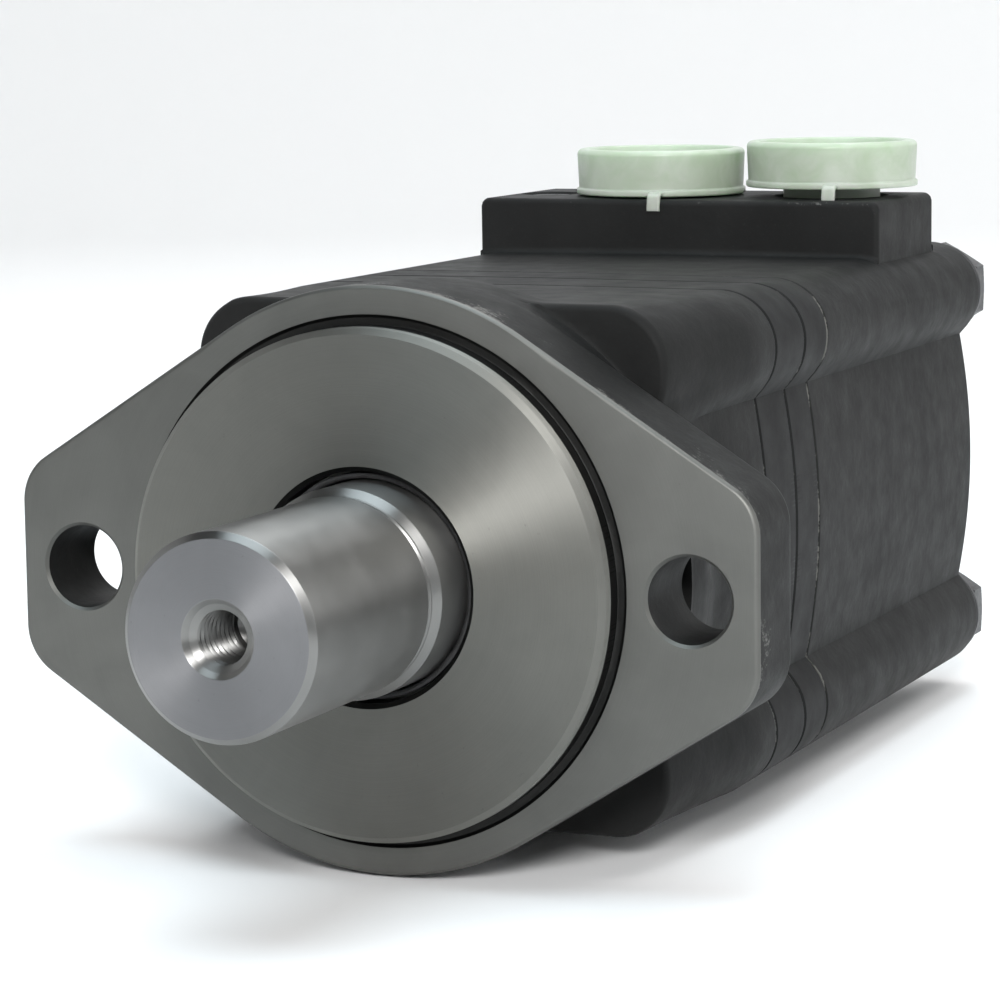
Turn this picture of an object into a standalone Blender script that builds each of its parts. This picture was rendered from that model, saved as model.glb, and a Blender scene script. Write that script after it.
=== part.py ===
"""Disc-valve roller-gerotor hydraulic motor with an SAE A two-bolt flange.

Metres, +Z up. The shaft axis is the Y axis and the shaft's free end points along -Y.
The origin is on the shaft axis, in the plane of the flange's mounting face.
"""

import math

import bmesh
import bpy
import numpy as np
from mathutils import Matrix, Vector

MM = 0.001
PAST = 3.0  # how far a cutter runs past the face it opens

# Mounting flange, millimetres
BOLT_X = 53.2
BOLT_HOLE_R = 6.9
PILOT_R = 41.275
PILOT_H = 5.2
FLANGE_T = 16.0
FLANGE_ARC_R = 47.6
FLANGE_HALF_W = 64.6
FLANGE_SLOPE = math.radians(57.5)
FLANGE_CORNER_R = 9.0
FLANGE_EDGE = 0.8

# Stations along the shaft axis, millimetres
SHELL_FRONT = 20.4
FRONT_END = 61.0
RING_Y = (61.3, 76.3)
PLATE_Y = (76.6, 88.6)
REAR_Y = (88.9, 187.0)
SHAFT_TIP = -53.8
SHAFT_REAR = 55.0
TAP_FLOOR = -37.8

# Body section
CORE_X = 44.5
CORE_Z = 43.0
SIDE_CROWN_R = 98.0
TOP_CROWN_R = 260.0
BOLT_C = (36.6, 33.0)
LOBE_R = 9.8
FRONT_LOBE_C = (32.2, 33.6)
LOBE_BLEND = 4.0
SECTION_POINTS = 72
BODY_HOLE_R = 5.4
BODY_BOLT_R = 5.0

# Port block and its caps
BLOCK_X = 40.7
BLOCK_Y = (136.0, 172.0)
BLOCK_TOP = 53.5
PORT_R = 10.0
PORT_FLOOR = 42.0
PORTS = {"left": (-9.3, 153.5, -9.3, 0.4), "right": (24.6, 157.5, 19.5, 1.9)}
CAP_R = 16.7
CAP_H = 8.8
CAP_PLUG_R = 9.4
CAP_PLUG_DEPTH = 9.0
CAP_DISH_R = 13.2
CAP_DISH_DEPTH = 1.6
TAB_X = 5.0
TAB_SIZE = (5.0, 4.6, 1.6)
DRAIN = (-33.0, 154.0)

# Shaft: free end, retaining groove, collar for the seals, two bearing seats with a shoulder between
SHAFT_R = 15.875
SHAFT_EDGE = 1.0
GROOVE_Y = (-14.2, -13.2)
GROOVE_DEPTH = 0.7
COLLAR_Y = (-12.8, -11.4)
SEAL_R = 16.9
FRONT_SEAT_R = 17.5
REAR_SEAT_R = 24.0
SHOULDER_Y = (23.2, 33.0)
SHOULDER_R = 26.0
TAP_R = 4.4
TAP_MOUTH_R = 6.4
SOCKET_Y = 26.5
SOCKET_MOUTH_R = 12.9

# Bore of the front housing, front to rear
MOUTH_R = 21.8
RECESS_Y = (-4.6, -0.5)
RECESS_R = 18.6
LIP_R = 17.6
SEAL_POCKET_Y = (0.8, 7.6)
SEAL_POCKET_R = 22.0
SPACE_R = 29.5
PLATE_POCKET_Y = 55.8
PLATE_POCKET_R = 37.4
NECK_PROFILE = ((12.0, 47.0), (26.0, 47.0), (31.0, 45.5), (40.0, 42.0))

# Bearings: span along the axis, radii of the inner and outer race, and the roller circle
BEARING_FIT = 0.4
CAGE_INSET = 0.6
CAGE_HALF_T = 0.5
ROLLER_INSET = 1.6
FRONT_BEARING = {"span": (8.0, 22.0), "inner": (17.85, 22.2), "outer": (27.3, 31.0)}
FRONT_BEARING_ROLLERS = {"pitch": 24.75, "radius": 2.2, "count": 12}
REAR_BEARING = {"span": (34.0, 50.0), "inner": (24.35, 28.0), "outer": (32.8, 36.2)}
REAR_BEARING_ROLLERS = {"pitch": 30.4, "radius": 2.05, "count": 14}

# Shaft seals, as (r, y) outlines
DUST_SEAL_PROFILE = ((17.3, -2.4), (18.2, -2.9), (18.2, -0.9), (17.6, -0.9))
SHAFT_SEAL_PROFILE = (
    (17.3, 1.6),
    (18.2, 1.2),
    (21.5, 1.2),
    (21.5, 7.2),
    (20.0, 7.2),
    (19.8, 3.0),
    (18.2, 6.4),
    (17.4, 5.6),
)

# Face seals between the housing sections
O_RING_R = 40.0
O_RING_WIRE = 0.75
O_RING_GROOVE = (38.9, 41.1)
O_RING_GROOVE_DEPTH = 1.8
O_RING_Y = {"o_ring_front": 60.1, "o_ring_plate": 87.7}

# Wear plate, disc valve, balance ring and its springs
WEAR_PLATE_Y = (56.2, 60.9)
WEAR_PLATE_R = (14.6, 37.0)
PLATE_BORE_R = 15.2
PORT_CIRCLE_R = 26.0
PORT_WINDOW_R = 3.2
VALVE_Y = (89.2, 103.0)
VALVE_R = 32.0
VALVE_HOLE_CIRCLE_R = 25.5
VALVE_HOLE_R = 3.0
VALVE_NOTCH_CIRCLE_R = 31.5
VALVE_NOTCH_R = 4.5
VALVE_NOTCH_DEPTH = 7.0
VALVE_RELIEF_R = 13.8
VALVE_RELIEF_DEPTH = 5.0
BALANCE_Y = (103.4, 111.0)
BALANCE_R = (15.0, 33.4)
SPRING_X = 21.0
SPRING_Y = (112.3, 121.2)
SPRING_COIL_R = 3.2
SPRING_WIRE_R = 0.55
SPRING_TURNS = 3.5

# Valve housing inside: valve cavity, springs' pockets and oil passages
CAVITY_R = 34.0
CAVITY_NOSE = ((111.6, 13.0), (123.6, 13.0), (127.6, 6.0))
SPRING_POCKET = (4.2, 121.6)
PASSAGE_Z = 22.0
PASSAGE_R = 4.0
DROP_R = 4.5

# Through bolts and drain plug
BOLT_TIP_Y = 40.0
BOLT_WASHER_R = 9.4
BOLT_FLAT = 7.9
PLUG_R = 5.0
PLUG_Z = (43.4, 53.1)
PLUG_SOCKET = (2.4, 4.0)

# Roller gerotor set
PITCH_R = 30.0
ROLLER_R = 6.35
ROLLER_EDGE = 0.5
ECC = 2.9
ROLLERS = 7
RUN_GAP = 0.3
RING_BORE = 29.6

# Splined drives
TEETH = 10
SPLINE_MINOR = 10.4
SPLINE_MAJOR = 12.2
SPACE_HALF = math.radians(11.0)
MAIN_SHAFT_Y = 36.0
MAIN_STAR_Y = 65.3
VALVE_STAR_Y = 73.2
VALVE_DISC_Y = 98.5


def material(name, colour, roughness, metallic):
    """Return a Principled material."""
    mat = bpy.data.materials.new(name)
    mat.use_nodes = True
    shader = mat.node_tree.nodes["Principled BSDF"]
    shader.inputs["Base Color"].default_value = (*colour, 1.0)
    shader.inputs["Roughness"].default_value = roughness
    shader.inputs["Metallic"].default_value = metallic
    mat.diffuse_color = (*colour, 1.0)
    return mat


def finish(name, bm, mat, sharp=32.0):
    """Turn a bmesh in millimetres into a named, shaded object in metres."""
    bmesh.ops.remove_doubles(bm, verts=bm.verts, dist=1e-5)
    bmesh.ops.scale(bm, vec=(MM, MM, MM), verts=bm.verts)
    bmesh.ops.recalc_face_normals(bm, faces=bm.faces)
    mesh = bpy.data.meshes.new(name)
    bm.to_mesh(mesh)
    bm.free()
    mesh.shade_smooth()
    mesh.set_sharp_from_angle(angle=math.radians(sharp))
    mesh.materials.append(mat)
    obj = bpy.data.objects.new(name, mesh)
    bpy.context.scene.collection.objects.link(obj)
    return obj


def add_loft(bm, sections):
    """Add a closed solid through (y, [(x, z), ...]) sections of equal length."""
    rings = [[bm.verts.new((x, y, z)) for x, z in pts] for y, pts in sections]
    count = len(rings[0])
    for a, b in zip(rings, rings[1:]):
        for i in range(count):
            j = (i + 1) % count
            bm.faces.new((a[i], a[j], b[j], b[i]))
    bm.faces.new(rings[0])
    bm.faces.new(rings[-1][::-1])


def add_turned(bm, profile, seg, centre=(0.0, 0.0), phase=0.0):
    """Add a closed ring turned about a line along Y from a closed (r, y) profile, r > 0."""
    cx, cz = centre
    rings = []
    for i in range(seg):
        t = phase + 2 * math.pi * i / seg
        rings.append([bm.verts.new((cx + r * math.sin(t), y, cz + r * math.cos(t))) for r, y in profile])
    count = len(profile)
    for i in range(seg):
        a = rings[i]
        b = rings[(i + 1) % seg]
        for k in range(count):
            m = (k + 1) % count
            bm.faces.new((a[k], a[m], b[m], b[k]))


def circle(r, seg, centre=(0.0, 0.0), phase=0.0):
    """Points of a circle in the section plane."""
    cx, cz = centre
    angles = [phase + 2 * math.pi * i / seg for i in range(seg)]
    return [(cx + r * math.sin(t), cz + r * math.cos(t)) for t in angles]


def rod(name, steps, seg, mat, centre=(0.0, 0.0)):
    """A solid of revolution from (y, r) steps, front to rear."""
    bm = bmesh.new()
    add_loft(bm, [(y, circle(r, seg, centre)) for y, r in steps])
    return finish(name, bm, mat)


def turned(name, profile, seg, mat):
    """A turned ring about the shaft axis."""
    bm = bmesh.new()
    add_turned(bm, profile, seg)
    return finish(name, bm, mat)


def boolean(target, cutter, operation):
    """Apply an exact boolean and delete the second operand."""
    mod = target.modifiers.new(cutter.name, "BOOLEAN")
    mod.operation = operation
    mod.solver = "EXACT"
    mod.object = cutter
    bpy.context.view_layer.update()
    graph = bpy.context.evaluated_depsgraph_get()
    mesh = bpy.data.meshes.new_from_object(target.evaluated_get(graph))
    target.modifiers.clear()
    target.data = mesh
    bpy.data.objects.remove(cutter, do_unlink=True)
    return target


def tidy(obj, mat, sharp=32.0):
    """Merge stray points after booleans and reset material and shading."""
    bm = bmesh.new()
    bm.from_mesh(obj.data)
    bmesh.ops.remove_doubles(bm, verts=bm.verts, dist=1e-6)
    bmesh.ops.triangulate(bm, faces=[f for f in bm.faces if len(f.verts) > 4])
    bm.to_mesh(obj.data)
    bm.free()
    obj.data.materials.clear()
    obj.data.materials.append(mat)
    for poly in obj.data.polygons:
        poly.material_index = 0
    obj.data.shade_smooth()
    obj.data.set_sharp_from_angle(angle=math.radians(sharp))
    return obj


def cutter_rods(rods, seg=24, axis="Y", rings=()):
    """One cutter mesh of cylinders ((x, z), r, y0, y1), or ((x, y), r, z0, z1) along Z.

    rings adds annular grooves (r0, r1, y0, y1) about the shaft axis.
    """
    bm = bmesh.new()
    for centre, r, a, b in rods:
        grown = r / math.cos(math.pi / seg)
        add_loft(bm, [(a, circle(grown, seg, centre)), (b, circle(grown, seg, centre))])
    for r0, r1, a, b in rings:
        add_turned(bm, [(r0, a), (r1, a), (r1, b), (r0, b)], 30, phase=0.01)
    if axis == "Z":
        for v in bm.verts:
            x, y, z = v.co
            v.co = (x, z, y)
    return finish("cutter", bm, MATS["steel"])


def crown(phi, half_x, half_z):
    """Distance to the crowned core at a polar angle."""
    best = 1e9
    for half, radius, along, across in (
        (half_x, SIDE_CROWN_R, abs(math.cos(phi)), abs(math.sin(phi))),
        (half_z, TOP_CROWN_R, abs(math.sin(phi)), abs(math.cos(phi))),
    ):
        back = radius - half
        best = min(best, math.sqrt(radius**2 - (back * across) ** 2) - back * along)
    return best


def lobe(phi, centre):
    """Distance to the far side of a corner bolt lobe at a polar angle, or zero away from it."""
    cx, cz = centre
    along = cx * abs(math.cos(phi)) + cz * abs(math.sin(phi))
    inside = LOBE_R**2 - (cx * cx + cz * cz - along * along)
    if inside <= 0:
        return 0.0
    return along + math.sqrt(inside)


def body_section(inset=0.0, centre=BOLT_C, half_x=CORE_X, half_z=CORE_Z):
    """Outline of the body: a crowned square with a round lobe at each bolt."""
    pts = []
    for i in range(SECTION_POINTS):
        phi = 2 * math.pi * i / SECTION_POINTS
        a = crown(phi, half_x, half_z)
        b = lobe(phi, centre)
        blend = max(LOBE_BLEND - abs(a - b), 0.0) / LOBE_BLEND
        r = max(a, b) + blend * blend * LOBE_BLEND / 4 - inset
        pts.append((r * math.cos(phi), r * math.sin(phi)))
    return pts


def flange_quarter(inset):
    """First-quadrant outline of the flange, from its end towards the top."""
    slope = np.array([math.cos(FLANGE_SLOPE), math.sin(FLANGE_SLOPE)])
    half = FLANGE_HALF_W - inset
    arc = FLANGE_ARC_R - inset
    corner = FLANGE_CORNER_R - inset
    cx = half - corner
    cz = (arc - corner - cx * slope[0]) / slope[1]
    ends = np.linspace(0.0, FLANGE_SLOPE, 8)
    pts = [(cx + corner * math.cos(t), cz + corner * math.sin(t)) for t in ends]
    top = np.linspace(FLANGE_SLOPE, math.pi / 2, 10)
    pts += [(arc * math.cos(t), arc * math.sin(t)) for t in top]
    return pts


def flange_section(inset=0.0):
    """Closed outline of the two-bolt flange."""
    quarter = flange_quarter(inset)
    left = [(-x, z) for x, z in quarter[-2::-1]]
    upper = quarter + left
    lower = [(x, -z) for x, z in upper[::-1]]
    return upper + lower


def spline_section(root, tip, half, centre=(0.0, 0.0)):
    """Outline with TEETH teeth: root and tip radii and the tooth's half angle."""
    pts = []
    crest = half * 0.8
    for k in range(TEETH):
        mid = k * 2 * math.pi / TEETH
        for r, t in ((root, -half), (tip, -crest), (tip, crest), (root, half)):
            pts.append((centre[0] + r * math.sin(mid + t), centre[1] + r * math.cos(mid + t)))
    return pts


def spline_cutter(y0, y1):
    """Cutter for a splined socket on the shaft axis."""
    bm = bmesh.new()
    pts = spline_section(SPLINE_MINOR, SPLINE_MAJOR, SPACE_HALF)
    add_loft(bm, [(y0, pts), (y1, pts)])
    return finish("cutter", bm, MATS["steel"])


def front_bore():
    """(y, r) steps of the bore: shaft recess, seal pocket, two bearing seats, wear plate pocket."""
    front0, front1 = (y + s * BEARING_FIT for y, s in zip(FRONT_BEARING["span"], (-1, 1)))
    rear0 = REAR_BEARING["span"][0] - BEARING_FIT
    front_r = FRONT_BEARING["outer"][1] + BEARING_FIT
    rear_r = REAR_BEARING["outer"][1] + BEARING_FIT
    return [
        (-PILOT_H - PAST, MOUTH_R),
        (RECESS_Y[0], RECESS_R),
        (RECESS_Y[1], RECESS_R),
        (RECESS_Y[1], LIP_R),
        (SEAL_POCKET_Y[0], LIP_R),
        (SEAL_POCKET_Y[0], SEAL_POCKET_R),
        (SEAL_POCKET_Y[1], SEAL_POCKET_R),
        (front0, front_r),
        (front1, front_r),
        (front1, SPACE_R),
        (rear0, SPACE_R),
        (rear0, rear_r),
        (PLATE_POCKET_Y, rear_r),
        (PLATE_POCKET_Y, PLATE_POCKET_R),
        (FRONT_END + PAST, PLATE_POCKET_R),
    ]


def front_housing():
    """Flange, pilot and bearing housing in one casting."""
    mat = MATS["paint"]
    bm = bmesh.new()
    edge = FLANGE_EDGE
    add_loft(
        bm,
        [
            (0.0, flange_section(edge)),
            (edge, flange_section()),
            (FLANGE_T - edge, flange_section()),
            (FLANGE_T, flange_section(edge)),
        ],
    )
    obj = finish("front_housing", bm, mat)
    bm = bmesh.new()
    add_loft(
        bm,
        [
            (SHELL_FRONT, body_section(1.2, FRONT_LOBE_C, 43.0, 43.0)),
            (SHELL_FRONT + 1.0, body_section(0.0, FRONT_LOBE_C, 43.0, 43.0)),
            (FLANGE_T + 36.0, body_section()),
            (FRONT_END - 0.6, body_section()),
            (FRONT_END, body_section(0.6)),
        ],
    )
    boolean(obj, finish("shell", bm, mat), "UNION")
    boolean(obj, rod("neck", NECK_PROFILE, 54, mat), "UNION")
    pilot = [(-PILOT_H, PILOT_R - 1.0), (1.0 - PILOT_H, PILOT_R), (3.0, PILOT_R)]
    boolean(obj, rod("pilot", pilot, 60, mat), "UNION")
    boolean(obj, rod("bore", front_bore(), 30, mat), "DIFFERENCE")
    flange_holes = [((s * BOLT_X, 0.0), BOLT_HOLE_R, -PILOT_H, FLANGE_T + PAST) for s in (-1, 1)]
    boolean(obj, cutter_rods(flange_holes, 26), "DIFFERENCE")
    groove = [(*O_RING_GROOVE, FRONT_END - O_RING_GROOVE_DEPTH, FRONT_END + PAST)]
    holes = bolt_cuts(BOLT_TIP_Y - PAST, FRONT_END + PAST)
    boolean(obj, cutter_rods(holes, 12, "Y", groove), "DIFFERENCE")
    return tidy(obj, mat)


def body_bolts():
    """Centres of the four through bolts in the section plane."""
    return [(x * BOLT_C[0], z * BOLT_C[1]) for x, z in ((1, 1), (-1, 1), (-1, -1), (1, -1))]


def slab(name, span, mat, chamfer=0.5):
    """A slice of the body with chamfered edges."""
    bm = bmesh.new()
    y0, y1 = span
    add_loft(
        bm,
        [
            (y0, body_section(chamfer)),
            (y0 + chamfer, body_section()),
            (y1 - chamfer, body_section()),
            (y1, body_section(chamfer)),
        ],
    )
    return finish(name, bm, mat)


def bolt_cuts(y0, y1):
    """Cutter entries for the four through-bolt holes."""
    return [((x, z), BODY_HOLE_R, y0, y1) for x, z in body_bolts()]


def ring_bore_outline():
    """Bore of the fixed ring: round between the rollers, with a pocket around each one."""
    pocket = ROLLER_R + RUN_GAP + 0.08
    meet = math.acos((RING_BORE**2 - PITCH_R**2 - pocket**2) / (2 * PITCH_R * pocket))
    step = 2 * math.pi / ROLLERS
    edge = math.atan2(pocket * math.sin(meet), PITCH_R + pocket * math.cos(meet))
    pts = []
    for k in range(ROLLERS):
        t = k * step
        for b in np.linspace(-meet, meet, 13):
            w = PITCH_R + pocket * complex(math.cos(b), math.sin(b))
            w *= complex(math.cos(t), math.sin(t))
            pts.append((w.imag, w.real))
        for a in np.linspace(t + edge, t + step - edge, 5)[1:-1]:
            pts.append((RING_BORE * math.sin(a), RING_BORE * math.cos(a)))
    return pts


def geroler_ring():
    """Fixed outer ring of the roller gerotor with one pocket for each roller."""
    mat = MATS["ring"]
    obj = slab("geroler_ring", RING_Y, mat)
    y0, y1 = RING_Y
    boolean(obj, cutter_rods(bolt_cuts(y0 - PAST, y1 + PAST), 12), "DIFFERENCE")
    bore = ring_bore_outline()
    bm = bmesh.new()
    add_loft(bm, [(y0 - PAST, bore), (y1 + PAST, bore)])
    boolean(obj, finish("bore", bm, mat), "DIFFERENCE")
    return tidy(obj, mat)


def roller_centres():
    """Roller positions on the pitch circle, the first one at the top."""
    step = 2 * math.pi / ROLLERS
    return [(PITCH_R * math.sin(k * step), PITCH_R * math.cos(k * step)) for k in range(ROLLERS)]


def geroler_rollers():
    """Seven loose rollers, each with its origin on its own axis."""
    y0, y1 = RING_Y[0] + 0.4, RING_Y[1] - 0.4
    half = (y1 - y0) / 2
    flat = half - ROLLER_EDGE
    small = ROLLER_R - ROLLER_EDGE
    for k, (x, z) in enumerate(roller_centres(), 1):
        steps = [(-half, small), (-flat, ROLLER_R), (flat, ROLLER_R), (half, small)]
        obj = rod(f"geroler_roller_{k}", steps, 14, MATS["bright"])
        obj.location = Vector((x, (y0 + y1) / 2, z)) * MM


def star_outline():
    """Six-lobed profile: the rollers' path in the star's frame, offset inwards."""
    t = np.linspace(0.0, 2 * math.pi, 97)[:-1]
    path = PITCH_R * np.exp(1j * t) - ECC * np.exp(1j * ROLLERS * t)
    tangent = 1j * PITCH_R * np.exp(1j * t) - 1j * ROLLERS * ECC * np.exp(1j * ROLLERS * t)
    inward = 1j * tangent / np.abs(tangent)
    profile = path + (ROLLER_R + RUN_GAP) * inward
    return [(float(w.imag), float(w.real)) for w in profile]


def star():
    """Orbiting six-lobed star with a splined bore."""
    mat = MATS["bright"]
    bm = bmesh.new()
    pts = star_outline()
    y0, y1 = RING_Y[0] + 0.3, RING_Y[1] - 0.3
    add_loft(bm, [(y0, pts), (y1, pts)])
    obj = finish("star", bm, mat)
    boolean(obj, spline_cutter(y0 - PAST, y1 + PAST), "DIFFERENCE")
    tidy(obj, mat)
    obj.location = (0.0, 0.0, ECC * MM)
    return obj


def drive(name, start, end, front, rear, neck):
    """A double-ended crowned spline link whose own axis runs from start to end (y, z)."""
    y0, z0 = start
    y1, z1 = end
    length = math.hypot(y1 - y0, z1 - z0)
    bm = bmesh.new()
    sections = []
    for base, half_length in ((0.0, front), (length, rear)):
        for s, shrink in ((-1.0, 1.3), (0.0, 0.0), (1.0, 1.3)):
            tooth = math.radians(6.5 if s == 0.0 else 4.0)
            pts = spline_section(9.4 - shrink * 0.5, 11.3 - shrink, tooth)
            sections.append((base + s * half_length, pts))
        if base == 0.0:
            round_neck = spline_section(neck, neck, math.radians(9.0))
            sections.append((half_length + 1.5, round_neck))
            sections.append((length - rear - 1.5, round_neck))
    add_loft(bm, sections)
    obj = finish(name, bm, MATS["forged"])
    obj.location = (0.0, y0 * MM, z0 * MM)
    obj.rotation_euler = (math.atan2(z1 - z0, y1 - y0), 0.0, 0.0)
    return obj


def drives():
    """Main and valve drive links with the loose spacer between them."""
    drive("main_drive", (MAIN_SHAFT_Y, 0.0), (MAIN_STAR_Y, ECC), 7.0, 2.9, 7.2)
    drive("valve_drive", (VALVE_STAR_Y, ECC), (VALVE_DISC_Y, 0.0), 2.3, 3.6, 6.4)
    steps = [(68.95, 4.6), (69.2, 5.0), (69.6, 5.0), (69.85, 4.6)]
    obj = rod("drive_spacer", steps, 24, MATS["bronze"])
    obj.location = (0.0, 0.0, ECC * MM)


def output_shaft():
    """Shaft with a threaded centre hole at the tip and a splined socket at the rear."""
    mat = MATS["steel"]
    groove_r = SHAFT_R - GROOVE_DEPTH
    steps = [
        (SHAFT_TIP, SHAFT_R - SHAFT_EDGE),
        (SHAFT_TIP + SHAFT_EDGE, SHAFT_R),
        (GROOVE_Y[0] - 0.2, SHAFT_R),
        (GROOVE_Y[0], groove_r),
        (GROOVE_Y[1], groove_r),
        (COLLAR_Y[0], SHAFT_R - 0.2),
        (COLLAR_Y[1], SEAL_R),
        (SEAL_POCKET_Y[1] - 0.6, SEAL_R),
        (SEAL_POCKET_Y[1] - 0.2, FRONT_SEAT_R),
        (SHOULDER_Y[0], FRONT_SEAT_R),
        (SHOULDER_Y[0], SHOULDER_R),
        (SHOULDER_Y[1], SHOULDER_R),
        (SHOULDER_Y[1], REAR_SEAT_R),
        (SHAFT_REAR - SHAFT_EDGE, REAR_SEAT_R),
        (SHAFT_REAR, REAR_SEAT_R - SHAFT_EDGE),
    ]
    obj = rod("output_shaft", steps, 40, mat)
    tap = [
        (SHAFT_TIP - SHAFT_EDGE, TAP_MOUTH_R),
        (SHAFT_TIP + SHAFT_EDGE, TAP_R),
        (TAP_FLOOR - 2.0, TAP_R),
        (TAP_FLOOR, 0.4),
    ]
    boolean(obj, rod("tap", tap, 14, mat), "DIFFERENCE")
    boolean(obj, spline_cutter(SOCKET_Y, SHAFT_REAR + PAST), "DIFFERENCE")
    mouth = [
        (SHAFT_REAR - 8.0, SOCKET_MOUTH_R),
        (SHAFT_REAR - 1.5, SOCKET_MOUTH_R),
        (SHAFT_REAR + 0.5, SOCKET_MOUTH_R + 2.0),
    ]
    boolean(obj, rod("mouth", mouth, 24, mat), "DIFFERENCE")
    return tidy(obj, mat)


def race(name, seat, track, span, seg):
    """A bearing race: a ring with its two seat corners chamfered."""
    edge = math.copysign(0.5, track - seat)
    y0, y1 = span
    profile = [
        (seat, y0 + abs(edge)),
        (seat + edge, y0),
        (track, y0),
        (track, y1),
        (seat + edge, y1),
        (seat, y1 - abs(edge)),
    ]
    return turned(name, profile, seg, MATS["bright"])


def bearing(side, races, rollers):
    """A roller bearing: inner race, outer race, and cage with rollers."""
    y0, y1 = races["span"]
    race(f"{side}_inner_race", *races["inner"], races["span"], 26)
    race(f"{side}_outer_race", *races["outer"][::-1], races["span"], 30)
    pitch = rollers["pitch"]
    c0, c1 = y0 + CAGE_INSET, y1 - CAGE_INSET
    r0, r1 = pitch - CAGE_HALF_T, pitch + CAGE_HALF_T
    cage = turned(f"{side}_rollers", [(r0, c0), (r1, c0), (r1, c1), (r0, c1)], 26, MATS["bronze"])
    bm = bmesh.new()
    for k in range(rollers["count"]):
        t = 2 * math.pi * k / rollers["count"]
        centre = (pitch * math.sin(t), pitch * math.cos(t))
        section = circle(rollers["radius"], 8, centre, t)
        add_loft(bm, [(y0 + ROLLER_INSET, section), (y1 - ROLLER_INSET, section)])
    boolean(cage, finish("rollers", bm, MATS["bright"]), "UNION")
    tidy(cage, MATS["bronze"])


def seals():
    """Dust lip, pressure seal and the two face O-rings."""
    turned("dust_seal", DUST_SEAL_PROFILE, 28, MATS["rubber"])
    turned("shaft_seal", SHAFT_SEAL_PROFILE, 24, MATS["rubber"])
    for name, y in O_RING_Y.items():
        angles = [2 * math.pi * k / 5 for k in range(5)]
        wire = [(O_RING_R + O_RING_WIRE * math.cos(a), y + O_RING_WIRE * math.sin(a)) for a in angles]
        turned(name, wire, 30, MATS["rubber"])


def wear_plate():
    """Hardened disc that the star and rollers run against."""
    y0, y1 = WEAR_PLATE_Y
    r0, r1 = WEAR_PLATE_R
    edge = 0.4
    profile = [(r0, y0), (r1 - edge, y0), (r1, y0 + edge), (r1, y1 - edge), (r1 - edge, y1), (r0, y1)]
    return turned("wear_plate", profile, 32, MATS["bright"])


def valve_plate():
    """Stationary plate with one timing window for each chamber."""
    mat = MATS["ring"]
    obj = slab("valve_plate", PLATE_Y, mat)
    y0, y1 = PLATE_Y
    through = (y0 - PAST, y1 + PAST)
    cuts = bolt_cuts(*through)
    cuts.append(((0.0, 0.0), PLATE_BORE_R, *through))
    for k in range(ROLLERS):
        t = (k + 0.5) * 2 * math.pi / ROLLERS
        centre = (PORT_CIRCLE_R * math.sin(t), PORT_CIRCLE_R * math.cos(t))
        cuts.append((centre, PORT_WINDOW_R, *through))
    groove = [(*O_RING_GROOVE, y1 - O_RING_GROOVE_DEPTH, y1 + PAST)]
    boolean(obj, cutter_rods(cuts, 12, "Y", groove), "DIFFERENCE")
    return tidy(obj, mat)


def disc_valve():
    """Rotating valve with six pressure holes and six return notches."""
    mat = MATS["bright"]
    y0, y1 = VALVE_Y
    edge = 0.4
    steps = [(y0, VALVE_R - edge), (y0 + edge, VALVE_R), (y1 - edge, VALVE_R), (y1, VALVE_R - edge)]
    obj = rod("disc_valve", steps, 32, mat)
    boolean(obj, spline_cutter(y0 - PAST, y1 + PAST), "DIFFERENCE")
    relief = [(y0 - PAST, VALVE_RELIEF_R), (y0 + VALVE_RELIEF_DEPTH, VALVE_RELIEF_R)]
    boolean(obj, rod("relief", relief, 24, mat), "DIFFERENCE")
    cuts = []
    lobes = ROLLERS - 1
    for k in range(lobes):
        t = k * 2 * math.pi / lobes
        centre = (VALVE_HOLE_CIRCLE_R * math.sin(t), VALVE_HOLE_CIRCLE_R * math.cos(t))
        cuts.append((centre, VALVE_HOLE_R, y0 - PAST, y1 + PAST))
        t += math.pi / lobes
        centre = (VALVE_NOTCH_CIRCLE_R * math.sin(t), VALVE_NOTCH_CIRCLE_R * math.cos(t))
        cuts.append((centre, VALVE_NOTCH_R, y0 - PAST, y0 + VALVE_NOTCH_DEPTH))
    boolean(obj, cutter_rods(cuts, 8), "DIFFERENCE")
    return tidy(obj, mat)


def spring(name, x):
    """A short coil spring lying along Y behind the balance ring."""
    bm = bmesh.new()
    per_turn, sides = 9, 5
    y0, y1 = SPRING_Y
    rings = []
    total = int(SPRING_TURNS * per_turn)
    for i in range(total + 1):
        a = 2 * math.pi * i / per_turn
        out = Vector((math.sin(a), 0.0, math.cos(a)))
        mid = Vector((x, y0 + (y1 - y0) * i / total, 0.0)) + out * SPRING_COIL_R
        ring = []
        for k in range(sides):
            b = 2 * math.pi * k / sides
            offset = out * math.cos(b) + Vector((0.0, math.sin(b), 0.0))
            ring.append(bm.verts.new(mid + offset * SPRING_WIRE_R))
        rings.append(ring)
    for a, b in zip(rings, rings[1:]):
        for k in range(sides):
            m = (k + 1) % sides
            bm.faces.new((a[k], a[m], b[m], b[k]))
    bm.faces.new(rings[0])
    bm.faces.new(rings[-1][::-1])
    return finish(name, bm, MATS["steel"])


def balance_ring():
    """Spring-loaded ring that presses the disc valve against the valve plate."""
    y0, y1 = BALANCE_Y
    r0, r1 = BALANCE_R
    step_y, step_r = y0 + 2.6, r1 - 2.4
    profile = [(r0, y0), (step_r, y0), (step_r, step_y), (r1, step_y + 0.4), (r1, y1), (r0, y1)]
    return turned("balance_ring", profile, 30, MATS["bronze"])


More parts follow.
